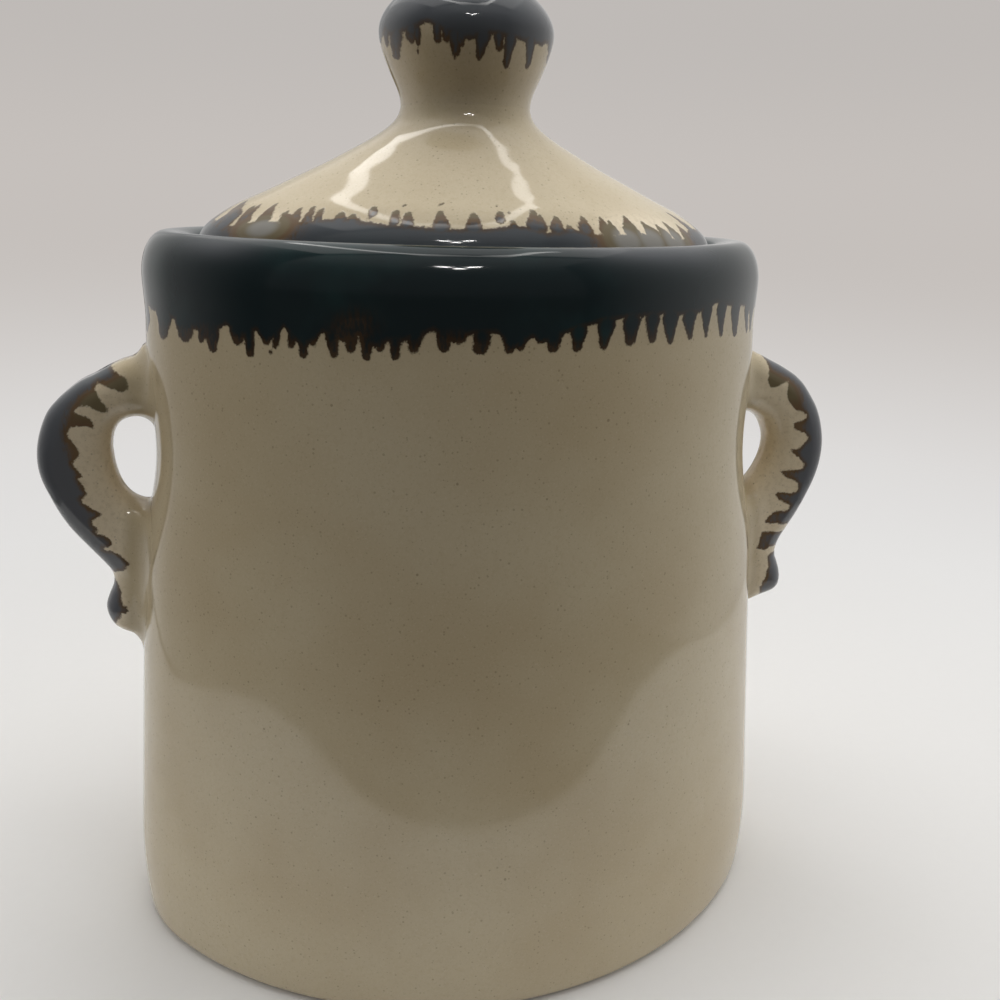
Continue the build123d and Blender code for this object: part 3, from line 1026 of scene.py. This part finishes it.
def ear_field(hand, x, y, z, from_outline, from_hole):
    """The ear with its flared root, as a distance that is negative inside."""
    share = np.clip((z - ear_foot) / ear_height, 0, 1)
    thicker = np.minimum(1, share / ear_wide_share)
    thick = ball_half_thick + (ear_half_thick - ball_half_thick) * thicker
    past_outline = from_outline + ear_tip_round
    past_side = np.abs(y) - (thick - ear_tip_round)
    corner = np.hypot(np.maximum(past_outline, 0), np.maximum(past_side, 0))
    plate = corner + np.minimum(np.maximum(past_outline, past_side), 0) - ear_tip_round
    wall = wall_distance(hand, x, y, z)
    reach = np.where(share < ear_wide_share, ear_wide_share, 1 - ear_wide_share)
    middle = np.clip(1 - np.abs(share - ear_wide_share) / reach, 0, 1)
    flare = flare_end_blend + (flare_blend - flare_end_blend) * middle**0.8
    flared = smooth_min(plate, wall, flare)
    past_hole = smooth_max(from_hole + hole_inset, np.abs(y) - hole_half_width, hole_wall_blend)
    return smooth_max(flared, smooth_min(-past_hole, wall, hole_wall_blend), hole_blend)


def shell_field(hand, points, outline, hole):
    """The ear's field at single points."""
    x, y, z = points.T
    return ear_field(hand, x, y, z, outline_distance(x, z, outline), outline_distance(x, z, hole))


def surface_net(values, origin, step):
    """The points and four-sided faces of a field's zero surface on an even grid."""
    inside = values < 0
    corners = [(i, j, k) for i in (0, 1) for j in (0, 1) for k in (0, 1)]
    shape = np.array(values.shape) - 1

    def cut(grid, corner):
        return grid[tuple(slice(c, c + n) for c, n in zip(corner, shape))]

    count = sum(cut(inside, corner).astype(int) for corner in corners)
    active = (count > 0) & (count < 8)
    index = np.full(shape, -1)
    cells = np.argwhere(active)
    index[active] = np.arange(len(cells))
    total, hits = np.zeros((len(cells), 3)), np.zeros(len(cells))
    for corner in corners:
        for axis in range(3):
            if corner[axis]:
                continue
            other = tuple(1 if i == axis else corner[i] for i in range(3))
            here, there = cut(values, corner)[active], cut(values, other)[active]
            crosses = (here < 0) != (there < 0)
            t = np.where(crosses, here / np.where(crosses, here - there, 1), 0)
            cross = np.array(corner, float) + t[:, None] * np.eye(3)[axis]
            total += np.where(crosses[:, None], cross, 0)
            hits += crosses
    verts = origin + step * (cells + total / hits[:, None])
    faces = []
    for axis in range(3):
        u, v = (axis + 1) % 3, (axis + 2) % 3
        low, high = [slice(None)] * 3, [slice(None)] * 3
        low[axis], high[axis] = slice(None, -1), slice(1, None)
        edges = np.argwhere(inside[tuple(low)] != inside[tuple(high)])
        under_u, under_v = edges[:, u] < shape[u], edges[:, v] < shape[v]
        edges = edges[(edges[:, u] > 0) & (edges[:, v] > 0) & under_u & under_v]
        outward = inside[tuple(edges.T)]
        ring = []
        for du, dv in ((-1, -1), (0, -1), (0, 0), (-1, 0)):
            cell = edges.copy()
            cell[:, u] += du
            cell[:, v] += dv
            ring.append(index[tuple(cell.T)])
        ring = np.stack(ring, 1)
        ring = np.where(outward[:, None], ring, ring[:, ::-1])
        faces.append(ring[(ring >= 0).all(1)])
    return verts, np.vstack(faces)


def ear_mesh(hand, outline):
    """An ear as for one on the right: a fine mesh with its points on the field's zero surface."""
    hole = hole_outline(hand)
    ear_top = ear_foot + ear_height
    low = np.array([wall_x(ear_top), 0, ear_foot]) + ear_box_low
    high = np.array([mid_half_length + ear_reach, 0, ear_top]) + ear_box_high
    axes = [np.arange(a, b, ear_grid_step) for a, b in zip(low, high)]
    flat_x, flat_z = np.meshgrid(axes[0], axes[2], indexing="ij")
    from_outline = outline_distance(flat_x, flat_z, outline)[:, None, :]
    from_hole = outline_distance(flat_x, flat_z, hole)[:, None, :]
    x, y, z = np.meshgrid(*axes, indexing="ij")
    values = ear_field(hand, x, y, z, from_outline, from_hole)
    wall = wall_distance(hand, x, y, z)
    past_ends = np.abs(z - ear_foot - ear_height / 2) - ear_height / 2 - ear_cut_margin
    bound = np.maximum(np.abs(y) - ear_cut_half_depth, past_ends)
    values = np.maximum(np.maximum(values + ear_sink, -(wall + ear_cut_inside)), bound)
    verts, faces = surface_net(values, low, ear_grid_step)
    nudge = 0.05
    for _ in range(2):
        here = shell_field(hand, verts, outline, hole)
        beside = [shell_field(hand, verts + way, outline, hole) for way in nudge * np.eye(3)]
        slope = (np.stack(beside, 1) - here[:, None]) / nudge
        here = here + ear_sink
        shift = -slope * (here / np.maximum((slope**2).sum(1), 0.3))[:, None]
        shift[np.abs(here) > 0.4 * ear_grid_step] = 0
        verts = verts + shift
    return verts, faces


def build_ear(hand):
    """One ear with its painted edge."""
    side = sides[hand]
    outer = ear_outline(hand)
    points, faces = ear_mesh(hand, outer)
    x, y, z = points.T
    depth = -outline_distance(x, z, outer)
    past_wall = wall_distance(hand, x, y, z)
    verts = np.column_stack([x * side, y, z])
    paint = np.full(len(verts), np.inf)
    for edge in (ear_edges[hand], ball_edges[hand]):
        beyond = outer_pixels[hand]
        closed = ((beyond, edge[0][1]), *edge, (beyond, edge[-1][1]))
        outline = np.array([seen_on_plane(*pixel, -ear_half_thick * 0.9) for pixel in closed])
        paint = np.minimum(paint, outline_distance(verts[:, 0], z, outline))
    paint = np.maximum(paint, ear_paint_gap - past_wall)
    thinned = np.clip((depth - np.interp(z, *zip(*full_depths))) / ear_thin_run, 0, 1)
    fade = thinned * np.interp(z, *zip(*olive_shares))
    faces = faces if side > 0 else faces[:, ::-1]
    # Painted glare that pales the ear's cream and greys its dark.
    painted_haze = np.interp(depth, *ear_haze_by_depth) + np.interp(z, *ear_haze_by_height)
    painted_haze *= np.interp(past_wall, *ear_haze_by_wall)
    bare = np.zeros(len(verts))
    name, node = hand + "_ear_glazed", hand + "_handle"
    make_piece(name, verts, faces, paint, fade, bare, painted_haze, "jar", node)


build_ear("left")
build_ear("right")


# ---------------------------------------------------------------- lid

lid_bottom = ledge_height + seat_gap
lid_offset = opening_offset - lid_gap
lid_length, lid_depth = mid_half_length + lid_offset, mid_half_depth + lid_offset
neck_height = lid_bottom + lid_rise
flange_offset = mouth_offset - flange_gap
hollow_offset = flange_offset - flange_wall
lid_edge_top = lid_bottom + lid_edge_height
edge_corner_run, edge_corner_rise = 1.1, 0.9
# How much shorter the way round the lid's painted edge is than along the mid oval.
lid_squeeze = 0.76

# Strokes of the lid's dark edge, in pixels: the root, the tip and half the width at both.
lid_rows = (
    (226, 222, 245, 201, 5.0, 1.0),
    (243, 222, 253, 206, 5.0, 2.0),
    (247, 217, 261, 204, 3.0, 1.0),
    (262, 221, 277, 203, 6.0, 1.0),
    (285, 223, 285, 211, 5.0, 2.4),
    (292, 221, 302, 207, 6.0, 1.4),
    (307, 221, 314, 206, 4.5, 1.4),
    (317, 221, 322, 208, 4.0, 2.4),
    (338, 225, 341, 211, 9.0, 4.0),
    (352, 225, 352, 213, 8.0, 4.0),
    (373, 214, 373, 206, 4.0, 3.4),
    (394, 223, 396, 210, 5.0, 3.4),
    (407, 224, 409, 211, 6.5, 3.6),
    (441, 228, 440, 210, 9.0, 3.6),
    (474, 228, 474, 212, 9.0, 5.0),
    (500, 219, 501, 211, 5.0, 3.6),
    (514, 226, 513, 220, 5.0, 3.0),
    (535, 226, 533, 210, 8.0, 3.6),
    (541, 226, 540, 214, 6.0, 3.0),
    (558, 229, 556, 216, 7.0, 2.6),
    (571, 230, 569, 225, 5.0, 3.0),
    (586, 229, 582, 216, 6.5, 2.2),
    (607, 231, 600, 217, 6.0, 1.4),
    (613, 230, 609, 221, 5.0, 1.6),
    (633, 232, 624, 216, 7.0, 1.2),
    (652, 232, 643, 223, 7.0, 2.4),
    (664, 233, 656, 225, 5.0, 1.2),
    (675, 234, 664, 223, 4.5, 1.0),
    (687, 236, 677, 225, 4.0, 1.0),
)
lid_dots = (
    (405, 205, 406, 205, 1.8, 1.8),
    (440, 205, 445, 203, 1.6, 1.6),
    (497, 206, 497, 207, 1.5, 1.5),
    (509, 213, 509, 213, 1.2, 1.2),
)
lid_line_pixels = (
    *((225, 227), (240, 224), (262, 221), (283, 222), (306, 221), (330, 219), (345, 218)),
    *((362, 221), (385, 224), (400, 225), (425, 227), (455, 229), (485, 229), (515, 225)),
    *((530, 227), (548, 233), (572, 229), (592, 234), (620, 235), (642, 234), (660, 234)),
    *((673, 239), (686, 239)),
)
# Where the lid's dark edge is painted milky, with painted haze over it: the place in pixels, and
# its half width and height.
lid_pale_spots = (
    *((628, 240, 9.0, 5.0), (652, 240, 9.0, 5.0), (675, 241, 9.0, 5.0), (262, 228, 9.0, 3.5)),
)
lid_root_fade, lid_tip_fade, lid_pale_fade = 0.3, 1.4, 3.2
# How much painted glare pales the lid's cream and greys its dark, as places out from its foot and
# values, and how much more at the milky spots.
lid_haze_by_out, lid_pale_haze = ((0, 8), (0.35, 0.65)), 0.8
lid_line = {"seed": 21, "mean": 6.8, "size": 0.5}
lid_strokes_gap = 3
lid_strokes = {
    **{"seed": 23, "pitch": 7.4, "reach": (3.0, 5.2)},
    **{"root_half": (1.5, 2.2), "tip_half": (0.4, 0.9), "lean": 0.2},
}


def lid_half_sizes(run):
    """The lid's half length and depth, part of the way in from its edge to its round neck."""
    half_length = neck_radius + (lid_length - neck_radius) * run
    return half_length, neck_radius + (lid_depth - neck_radius) * run


def round_ring(radius, height):
    """A round ring of points."""
    return oval_ring(radius, radius, height, plain_step)


def build_lid():
    """The lid from inside its hollow, under the flange, round the edge and up to the neck."""
    hollow_length, hollow_depth = mid_half_length + hollow_offset, mid_half_depth + hollow_offset
    hollow_neck = neck_radius - lid_wall
    hollow_rise = lid_rise - lid_top_thick
    shares = np.linspace(0.04, 1, 5, endpoint=False)
    rows = [round_ring(hollow_neck * share, lid_bottom + hollow_rise) for share in shares]
    for run, rise in spline(np.column_stack([hollow_run_shares, hollow_rise_shares]), 26)[::-1]:
        half_length = hollow_neck + (hollow_length - hollow_neck) * run
        half_depth = hollow_neck + (hollow_depth - hollow_neck) * run
        rows.append(oval_ring(half_length, half_depth, lid_bottom + hollow_rise * rise, plain_step))
    flange_low = lid_bottom - flange_depth
    rim = joined(
        straight((hollow_offset, lid_bottom - 0.8), (hollow_offset, flange_low + edge_round), 3),
        rounded_corner((hollow_offset, flange_low), (0, -1), (1, 0), edge_round),
        rounded_corner((flange_offset, flange_low), (1, 0), (0, 1), edge_round),
        straight((flange_offset, flange_low + edge_round), (flange_offset, lid_bottom - 0.5), 3),
        rounded_corner((flange_offset, lid_bottom), (0, 1), (1, 0), 0.4),
        rounded_corner((lid_offset, lid_bottom), (1, 0), (0, 1), 0.6),
    )
    rows += [plain(*point) for point in rim]
    edge_count = len(rows)
    upright = np.linspace(lid_bottom + 0.9, lid_edge_top - edge_corner_rise, 3)
    rows += [plain(lid_offset, height) for height in upright]
    outer_line = smoothed(spline(np.column_stack([lid_run_shares, lid_rise_shares]), 400), 24)
    outer_heights = lid_edge_top + (lid_rise - lid_edge_height) * outer_line[:, 1]
    fine_zone = (outer_line[:, 0] < 0.985) & (outer_line[:, 0] > 0.62)
    inner_places = range(1, len(outer_line) - 2)
    kept = [i for i in inner_places if fine_zone[i] and i % 3 == 0 or i % 6 == 0]
    corner = ellipse((0, -edge_corner_rise), edge_corner_run, edge_corner_rise, 0, 90, 5)[1:-1]
    for run_in, drop in corner:
        inset = edge_corner_run - run_in
        sizes = [half_size - inset for half_size in lid_half_sizes(1.0)]
        rows.append(oval_ring(*sizes, lid_edge_top + drop + 0.12, plain_step))
    for i in kept:
        half_length, half_depth = lid_half_sizes(outer_line[i, 0])
        every = 1 if fine_zone[i] else plain_step
        rows.append(oval_ring(half_length, half_depth, outer_heights[i], every))
    rows += [round_ring(neck_radius, neck_height - drop) for drop in (0.08, 0.04, 0.0)]
    rows += [round_ring(neck_radius * share, neck_height) for share in np.linspace(0.99, 0.04, 4)]
    verts, faces = stacked(rows)

    steps = np.hypot(np.diff(outer_line[:, 0]) * (lid_depth - neck_radius), np.diff(outer_heights))
    outs = np.concatenate([[lid_edge_height], lid_edge_height + np.cumsum(steps)])

    def half_sizes(height):
        run = np.interp(height, outer_heights, outer_line[:, 0])
        missing = (height < lid_edge_top) | (height > neck_height)
        half_length, half_depth = lid_half_sizes(run)
        return np.where(missing, -1.0, half_length), np.where(missing, -1.0, half_depth)

    def outward(height):
        return np.interp(height, outer_heights, outs)

    along = row_alongs(rows)
    seen = (lid_rows, lid_dots, lid_line_pixels)
    hidden = (lid_line, lid_strokes_gap, lid_strokes)
    out, past, paint, toward_tip = brushwork(
        *(along, verts[:, 2], half_sizes, outward, seen, hidden, lid_squeeze)
    )
    fade = np.where(past > 0, lid_root_fade + lid_tip_fade * toward_tip, 0)
    # Painted glare over the lid's edge, more at the milky spots.
    painted_haze = np.interp(out, *lid_haze_by_out)
    for spot in lid_pale_spots:
        here = near_spot(along, out, half_sizes, outward, spot)
        fade = np.maximum(fade, lid_pale_fade * here)
        painted_haze = painted_haze + lid_pale_haze * here
    is_inner = row_values(rows, np.arange(len(rows)) < edge_count - 6) > 0.5
    paint = np.where(is_inner, 3.0, paint)
    fade = np.where(is_inner, 0, fade)
    bare = np.zeros(len(rows))
    bare[edge_count - 7 : edge_count - 2] = 1
    bare = row_values(rows, bare)
    make_piece("lid_glazed", verts, faces, paint, fade, bare, painted_haze, "lid", "lid")


build_lid()


# ---------------------------------------------------------------- knob

# Strokes of the knob's dark top, in pixels: the root, the tip and half the width at both.
knob_rows = (
    (386, 32, 387, 45, 4.0, 1.4),
    (396, 32, 396, 57, 5.5, 2.6),
    (411, 30, 411, 39, 8.0, 5.0),
    (417, 32, 418, 45, 5.5, 2.4),
    (437, 28, 438, 41, 5.5, 3.4),
    (446, 28, 446, 39, 5.0, 3.4),
    (454, 34, 456, 53, 7.0, 3.6),
    (461, 34, 459, 43, 6.0, 4.0),
    (483, 34, 479, 58, 9.5, 3.0),
    (499, 36, 500, 48, 6.0, 3.4),
    (511, 38, 506, 65, 8.0, 3.4),
    (531, 40, 528, 67, 8.0, 3.4),
    (551, 42, 547, 63, 5.5, 1.6),
)
knob_dots = ((418, 51, 418, 54, 1.8, 1.4), (455, 57, 455, 58, 1.8, 1.8))
knob_line_pixels = (
    *((385, 30), (391, 36), (402, 33), (427, 22), (448, 34), (470, 40), (494, 34), (521, 41)),
    *((541, 46), (553, 44)),
)
knob_line = {"seed": 31, "mean": 12.4, "size": 0.6}
knob_strokes_gap = 8
knob_strokes = {
    **{"seed": 37, "pitch": 16, "reach": (2.2, 5.0)},
    **{"root_half": (1.4, 1.9), "tip_half": (0.5, 0.9), "lean": 0.3},
}
knob_widen = (1.1, 1.6)
# How much painted glare pales the knob's cream and greys its dark, by distance down from its top.
knob_haze_by_out = ((0, 12), (0.5, 0.75))


def build_knob():
    """The knob, turned, from its foot on the neck over the shoulder to the top."""
    shoulder = neck_height + knob_waist_height
    mid_height = neck_height + knob_waist_height / 2
    waist_radius = knob_foot_radius + (knob_radius - knob_foot_radius) * knob_mid_share
    waist = joined(
        [(neck_radius, neck_height + rise) for rise in (0.0, 0.04, 0.08)],
        bend((neck_radius, neck_height + 0.12), (0, 1), (waist_radius, mid_height), (0.4, 1), 20),
        bend((waist_radius, mid_height), (0.4, 1), (knob_radius, shoulder), (0, 1), 20),
    )
    dome_point = (knob_radius * dome_run_share, shoulder + knob_dome_height * dome_rise_share)
    top_height = shoulder + knob_dome_height
    dome = joined(
        bend((knob_radius, shoulder), (0, 1), dome_point, (-0.85, 0.62), 24),
        bend(dome_point, (-0.85, 0.62), (0.5, top_height), (-1, 0), 20),
    )
    profile = joined(waist, dome)
    rows = [round_ring(*point) for point in profile]
    verts, faces = stacked(rows)

    def half_sizes(height):
        radius = np.interp(height, profile[:, 1], profile[:, 0])
        radius = np.where((height < neck_height) | (height > top_height), -1.0, radius)
        return radius, radius

    def outward(height):
        return top_height - height

    squeeze = tau * knob_radius / perimeter
    seen = (knob_rows, knob_dots, knob_line_pixels)
    hidden = (knob_line, knob_strokes_gap, knob_strokes)
    out, past, paint, toward_tip = brushwork(
        *(row_alongs(rows), verts[:, 2], half_sizes, outward, seen, hidden, squeeze, knob_widen)
    )
    fade = np.where(past > 0, tip_fade * toward_tip, 0)
    painted_haze = np.interp(out, *knob_haze_by_out)
    bare = np.zeros(len(verts))
    make_piece("lid_knob_glazed", verts, faces, paint, fade, bare, painted_haze, "lid", "lid_knob")


build_knob()


# ---------------------------------------------------------------- floor, world and lights

wall_grey = (0.520, 0.492, 0.472)
wall_low = (0.560, 0.526, 0.502)
floor_white = (0.80, 0.795, 0.785)
floor_far = (0.800, 0.792, 0.785)
table_dark = (0.035, 0.033, 0.03)
# The room round the jar, by where the light comes from: in front, behind and overhead, for the
# glaze's mirror and for all else.
mirror_front, mirror_back = (0.05, 0.052, 0.052), (0.52, 0.515, 0.51)
mirror_top = (0.32, 0.315, 0.31)
room_front, room_back, room_top = (0.057, 0.055, 0.053), (0.55, 0.545, 0.54), (0.37, 0.365, 0.36)
warm_white, strip_white, panel_white = (1.0, 0.99, 0.975), (1, 0.98, 0.95), (1.0, 0.98, 0.96)
paper_front, paper_middle, paper_half_width = -0.140, 0.012, 0.240
paper_corner, paper_edge = 0.10, 0.006


def stage_mesh(name, verts, faces, material, seen=()):
    """A stage object that only the named kinds of ray see, or every kind if none is named."""
    mesh = bpy.data.meshes.new(name)
    mesh.from_pydata(verts, [], faces)
    piece = bpy.data.objects.new(name, mesh)
    bpy.context.collection.objects.link(piece)
    mesh.materials.append(material)
    if seen:
        for kind in ("camera", "diffuse", "glossy", "transmission", "volume_scatter", "shadow"):
            setattr(piece, "visible_" + kind, kind in seen)
    return piece


def glowing(name, colour, strength, fade=None):
    """A light-giving material, which may fade in along Y, between two places."""
    material = bpy.data.materials.new(name)
    material.use_nodes = True
    tree = material.node_tree
    tree.nodes.clear()
    light = tree.nodes.new("ShaderNodeEmission")
    light.inputs["Color"].default_value = (*colour, 1)
    light.inputs["Strength"].default_value = strength
    if fade:
        where = tree.nodes.new("ShaderNodeTexCoord").outputs["Object"]
        parts = tree.nodes.new("ShaderNodeSeparateXYZ")
        tree.links.new(where, parts.inputs[0])
        share = ramp(tree, parts.outputs["Y"], *fade)
        tree.links.new(maths(tree, "MULTIPLY", share, strength), light.inputs["Strength"])
    out = tree.nodes.new("ShaderNodeOutputMaterial")
    tree.links.new(light.outputs[0], out.inputs["Surface"])
    return material


def floor_material():
    """White paper with round corners, on a dark table that only the glaze and the light meet.

    The camera sees the paper fade, far off, into the pale grey behind it.
    """
    material = bpy.data.materials.new("floor_paper")
    material.use_nodes = True
    tree = material.node_tree
    tree.nodes.clear()
    where = tree.nodes.new("ShaderNodeTexCoord").outputs["Object"]
    grain = noise(tree, where, 350, 3, 0.5)
    parts = tree.nodes.new("ShaderNodeSeparateXYZ")
    tree.links.new(where, parts.inputs[0])
    rays = tree.nodes.new("ShaderNodeLightPath")
    aside = maths(tree, "ABSOLUTE", maths(tree, "SUBTRACT", parts.outputs["X"], paper_middle))
    aside = maths(tree, "SUBTRACT", aside, paper_half_width - paper_corner)
    ahead = maths(tree, "SUBTRACT", paper_front + paper_corner, parts.outputs["Y"])
    aside, ahead = (maths(tree, "MAXIMUM", past, 0) for past in (aside, ahead))
    reach = maths(tree, "ADD", maths(tree, "POWER", aside, 2), maths(tree, "POWER", ahead, 2))
    reach = maths(tree, "SQRT", reach)
    on_paper = ramp(tree, reach, paper_corner + paper_edge, paper_corner - paper_edge)
    on_paper = maths(tree, "MAXIMUM", on_paper, rays.outputs["Is Camera Ray"])
    surface = blend_colours(tree, maths(tree, "MULTIPLY", grain, 0.05), floor_white, wall_grey)
    paper = tree.nodes.new("ShaderNodeBsdfDiffuse")
    tree.links.new(blend_colours(tree, on_paper, table_dark, surface), paper.inputs["Color"])
    length = tree.nodes.new("ShaderNodeVectorMath")
    length.operation = "LENGTH"
    tree.links.new(where, length.inputs[0])
    far = ramp(tree, length.outputs["Value"], 0.12, 0.5)
    beyond = tree.nodes.new("ShaderNodeEmission")
    past = maths(tree, "SUBTRACT", length.outputs["Value"], 0.3)
    near = maths(tree, "POWER", 0.135, past, clamp=True)
    tree.links.new(blend_colours(tree, near, wall_low, floor_far), beyond.inputs["Color"])
    mixed = tree.nodes.new("ShaderNodeMixShader")
    tree.links.new(maths(tree, "MULTIPLY", far, rays.outputs["Is Camera Ray"]), mixed.inputs["Fac"])
    tree.links.new(paper.outputs[0], mixed.inputs[1])
    tree.links.new(beyond.outputs[0], mixed.inputs[2])
    out = tree.nodes.new("ShaderNodeOutputMaterial")
    tree.links.new(mixed.outputs[0], out.inputs["Surface"])
    return material


floor_radius, floor_sides = 8.0, 96
floor_angles = [i * tau / floor_sides for i in range(floor_sides)]
floor_rim = [(floor_radius * cos(angle), floor_radius * sin(angle), 0) for angle in floor_angles]
stage_mesh("floor", floor_rim, [tuple(range(floor_sides))], floor_material())


def build_world():
    """Pale behind the object and overhead, and the dim room in front, which the glaze mirrors."""
    world = bpy.data.worlds.new("studio")
    bpy.context.scene.world = world
    world.use_nodes = True
    tree = world.node_tree
    tree.nodes.clear()
    way = tree.nodes.new("ShaderNodeTexCoord").outputs["Generated"]
    parts = tree.nodes.new("ShaderNodeSeparateXYZ")
    tree.links.new(way, parts.inputs[0])
    back, up = parts.outputs["Y"], parts.outputs["Z"]
    rays = tree.nodes.new("ShaderNodeLightPath")
    around = blend_colours(tree, ramp(tree, back, -1.0, 0.3), room_front, room_back)
    around = blend_colours(tree, ramp(tree, up, 0.1, 0.65), around, room_top)
    mirrored = blend_colours(tree, ramp(tree, back, -0.5, 0.3), mirror_front, mirror_back)
    mirrored = blend_colours(tree, ramp(tree, up, 0.5, 0.95), mirrored, mirror_top)
    behind = blend_colours(tree, ramp(tree, up, 0.0, 0.14), wall_low, wall_grey)
    colour = blend_colours(tree, rays.outputs["Is Glossy Ray"], around, mirrored)
    colour = blend_colours(tree, rays.outputs["Is Camera Ray"], colour, behind)
    light = tree.nodes.new("ShaderNodeBackground")
    tree.links.new(colour, light.inputs["Color"])
    out = tree.nodes.new("ShaderNodeOutputWorld")
    tree.links.new(light.outputs[0], out.inputs["Surface"])


build_world()


def soft_lamp(name, place, aim, size, power, colour=(1, 1, 1)):
    """A soft lamp that the glaze doesn't mirror."""
    lamp = bpy.data.lights.new(name, "AREA")
    lamp.shape = "RECTANGLE"
    lamp.size, lamp.size_y = size
    lamp.energy = power
    lamp.color = colour
    made = bpy.data.objects.new(name, lamp)
    made.location = place
    made.rotation_euler = (Vector(aim) - Vector(place)).to_track_quat("-Z", "Y").to_euler()
    bpy.context.collection.objects.link(made)
    made.visible_glossy = False
    return made


# Each lamp's place, what it points at, its size and its power.
soft_lamp("ceiling_softbox", (0.02, 0.05, 0.62), (0.0, 0.02, 0.0), (0.55, 0.45), 2.40, warm_white)
soft_lamp("front_softbox", (0.02, -0.30, 0.50), (0.0, 0.0, 0.12), (0.3, 0.2), 0.06, warm_white)
soft_lamp("left_wall_fill", (-0.60, 0.18, 0.25), (0.0, 0.0, 0.08), (0.5, 0.45), 0.7)
soft_lamp("right_wall_fill", (0.58, -0.02, 0.28), (0.0, 0.0, 0.08), (0.5, 0.45), 0.92)


def bar(start, end, width):
    """A flat strip between two points, facing the object."""
    start, end = Vector(start), Vector(end)
    facing = Vector((0, 0, 0.12)) - (start + end) / 2
    side = facing.cross(end - start).normalized() * width / 2
    return [tuple(start - side), tuple(end - side), tuple(end + side), tuple(start + side)]


def mirrored_light(name, verts, faces, colour, strength, fade=None):
    """A bright stage object that only the glaze mirrors."""
    light = glowing(name + "_light", colour, strength, fade)
    return stage_mesh(name, verts, faces, light, seen=("glossy",))


def upright(name, x, y_from, strength, fade):
    """An upright panel beside the object, from a place in front of it to the back."""
    spans = ((y_from, 0), (wall_back, 0), (wall_back, tent_height), (y_from, tent_height))
    corners = [(x, y, z) for y, z in spans]
    return mirrored_light(name, corners, [(0, 1, 2, 3)], panel_white, strength, fade)


def overhead(name, y_from, strength, fade):
    """A level panel over the object, from a place in front of it to the back."""
    near, far = (left_wall, right_wall), (right_wall, left_wall)
    corners = [(x, y_from, tent_height) for x in near] + [(x, wall_back, tent_height) for x in far]
    return mirrored_light(name, corners, [(0, 1, 2, 3)], panel_white, strength, fade)


# A bright loop over the object, open at the back, through these places on its own level. It is
# wider and dimmer in front.
loop_height, loop_width, loop_front_width = 0.45, 0.017, 0.045
loop_wide_from, loop_wide_run = -0.085, 0.03
loop_line = spline(
    (
        *((-0.108, 0.240), (-0.110, 0.175), (-0.107, 0.038), (-0.087, -0.048), (-0.040, -0.108)),
        *((0.000, -0.128), (0.034, -0.130), (0.075, -0.083), (0.107, 0.020), (0.126, 0.050)),
    ),
    60,
)


def loop_points():
    """The loop's inner and outer edges, level and facing down."""
    ahead = np.gradient(loop_line, axis=0)
    side = np.column_stack([ahead[:, 1], -ahead[:, 0]]) / np.linalg.norm(ahead, axis=1)[:, None]
    at_front = np.clip((loop_wide_from - loop_line[:, 1]) / loop_wide_run, 0, 1)
    reach = side * (loop_width + (loop_front_width - loop_width) * at_front)[:, None] / 2
    edges = np.vstack([loop_line - reach, loop_line + reach])
    return [(float(x), float(y), loop_height) for x, y in edges]


count = len(loop_line)
quads = [(i, i + 1, i + 1 + count, i + count) for i in range(count - 1)]
mirrored_light("bright_loop", loop_points(), quads, strip_white, 4.8, (-0.15, -0.07))

# Three little lamps over the camera: the ends and width of each.
leds = (
    bar((-0.082, -0.40, 0.510), (-0.046, -0.40, 0.494), 0.008),
    bar((0.034, -0.40, 0.510), (-0.004, -0.40, 0.494), 0.008),
    bar((-0.038, -0.40, 0.462), (-0.012, -0.40, 0.462), 0.009),
)
quads = [tuple(range(4 * i, 4 * i + 4)) for i in range(len(leds))]
mirrored_light("front_leds", [point for led in leds for point in led], quads, strip_white, 75.0)

# The light tent round the jar.
left_wall, right_wall, wall_back, tent_height = -0.235, 0.255, 0.7, 0.5
upright("left_tent_wall", left_wall, -0.12, 0.68, (-0.10, 0.14))
upright("right_tent_wall", right_wall, -0.35, 0.68, (-0.35, 0.15))
overhead("tent_ceiling", -0.13, 0.95, (-0.13, -0.06))

bpy.context.scene.view_settings.view_transform = "Standard"
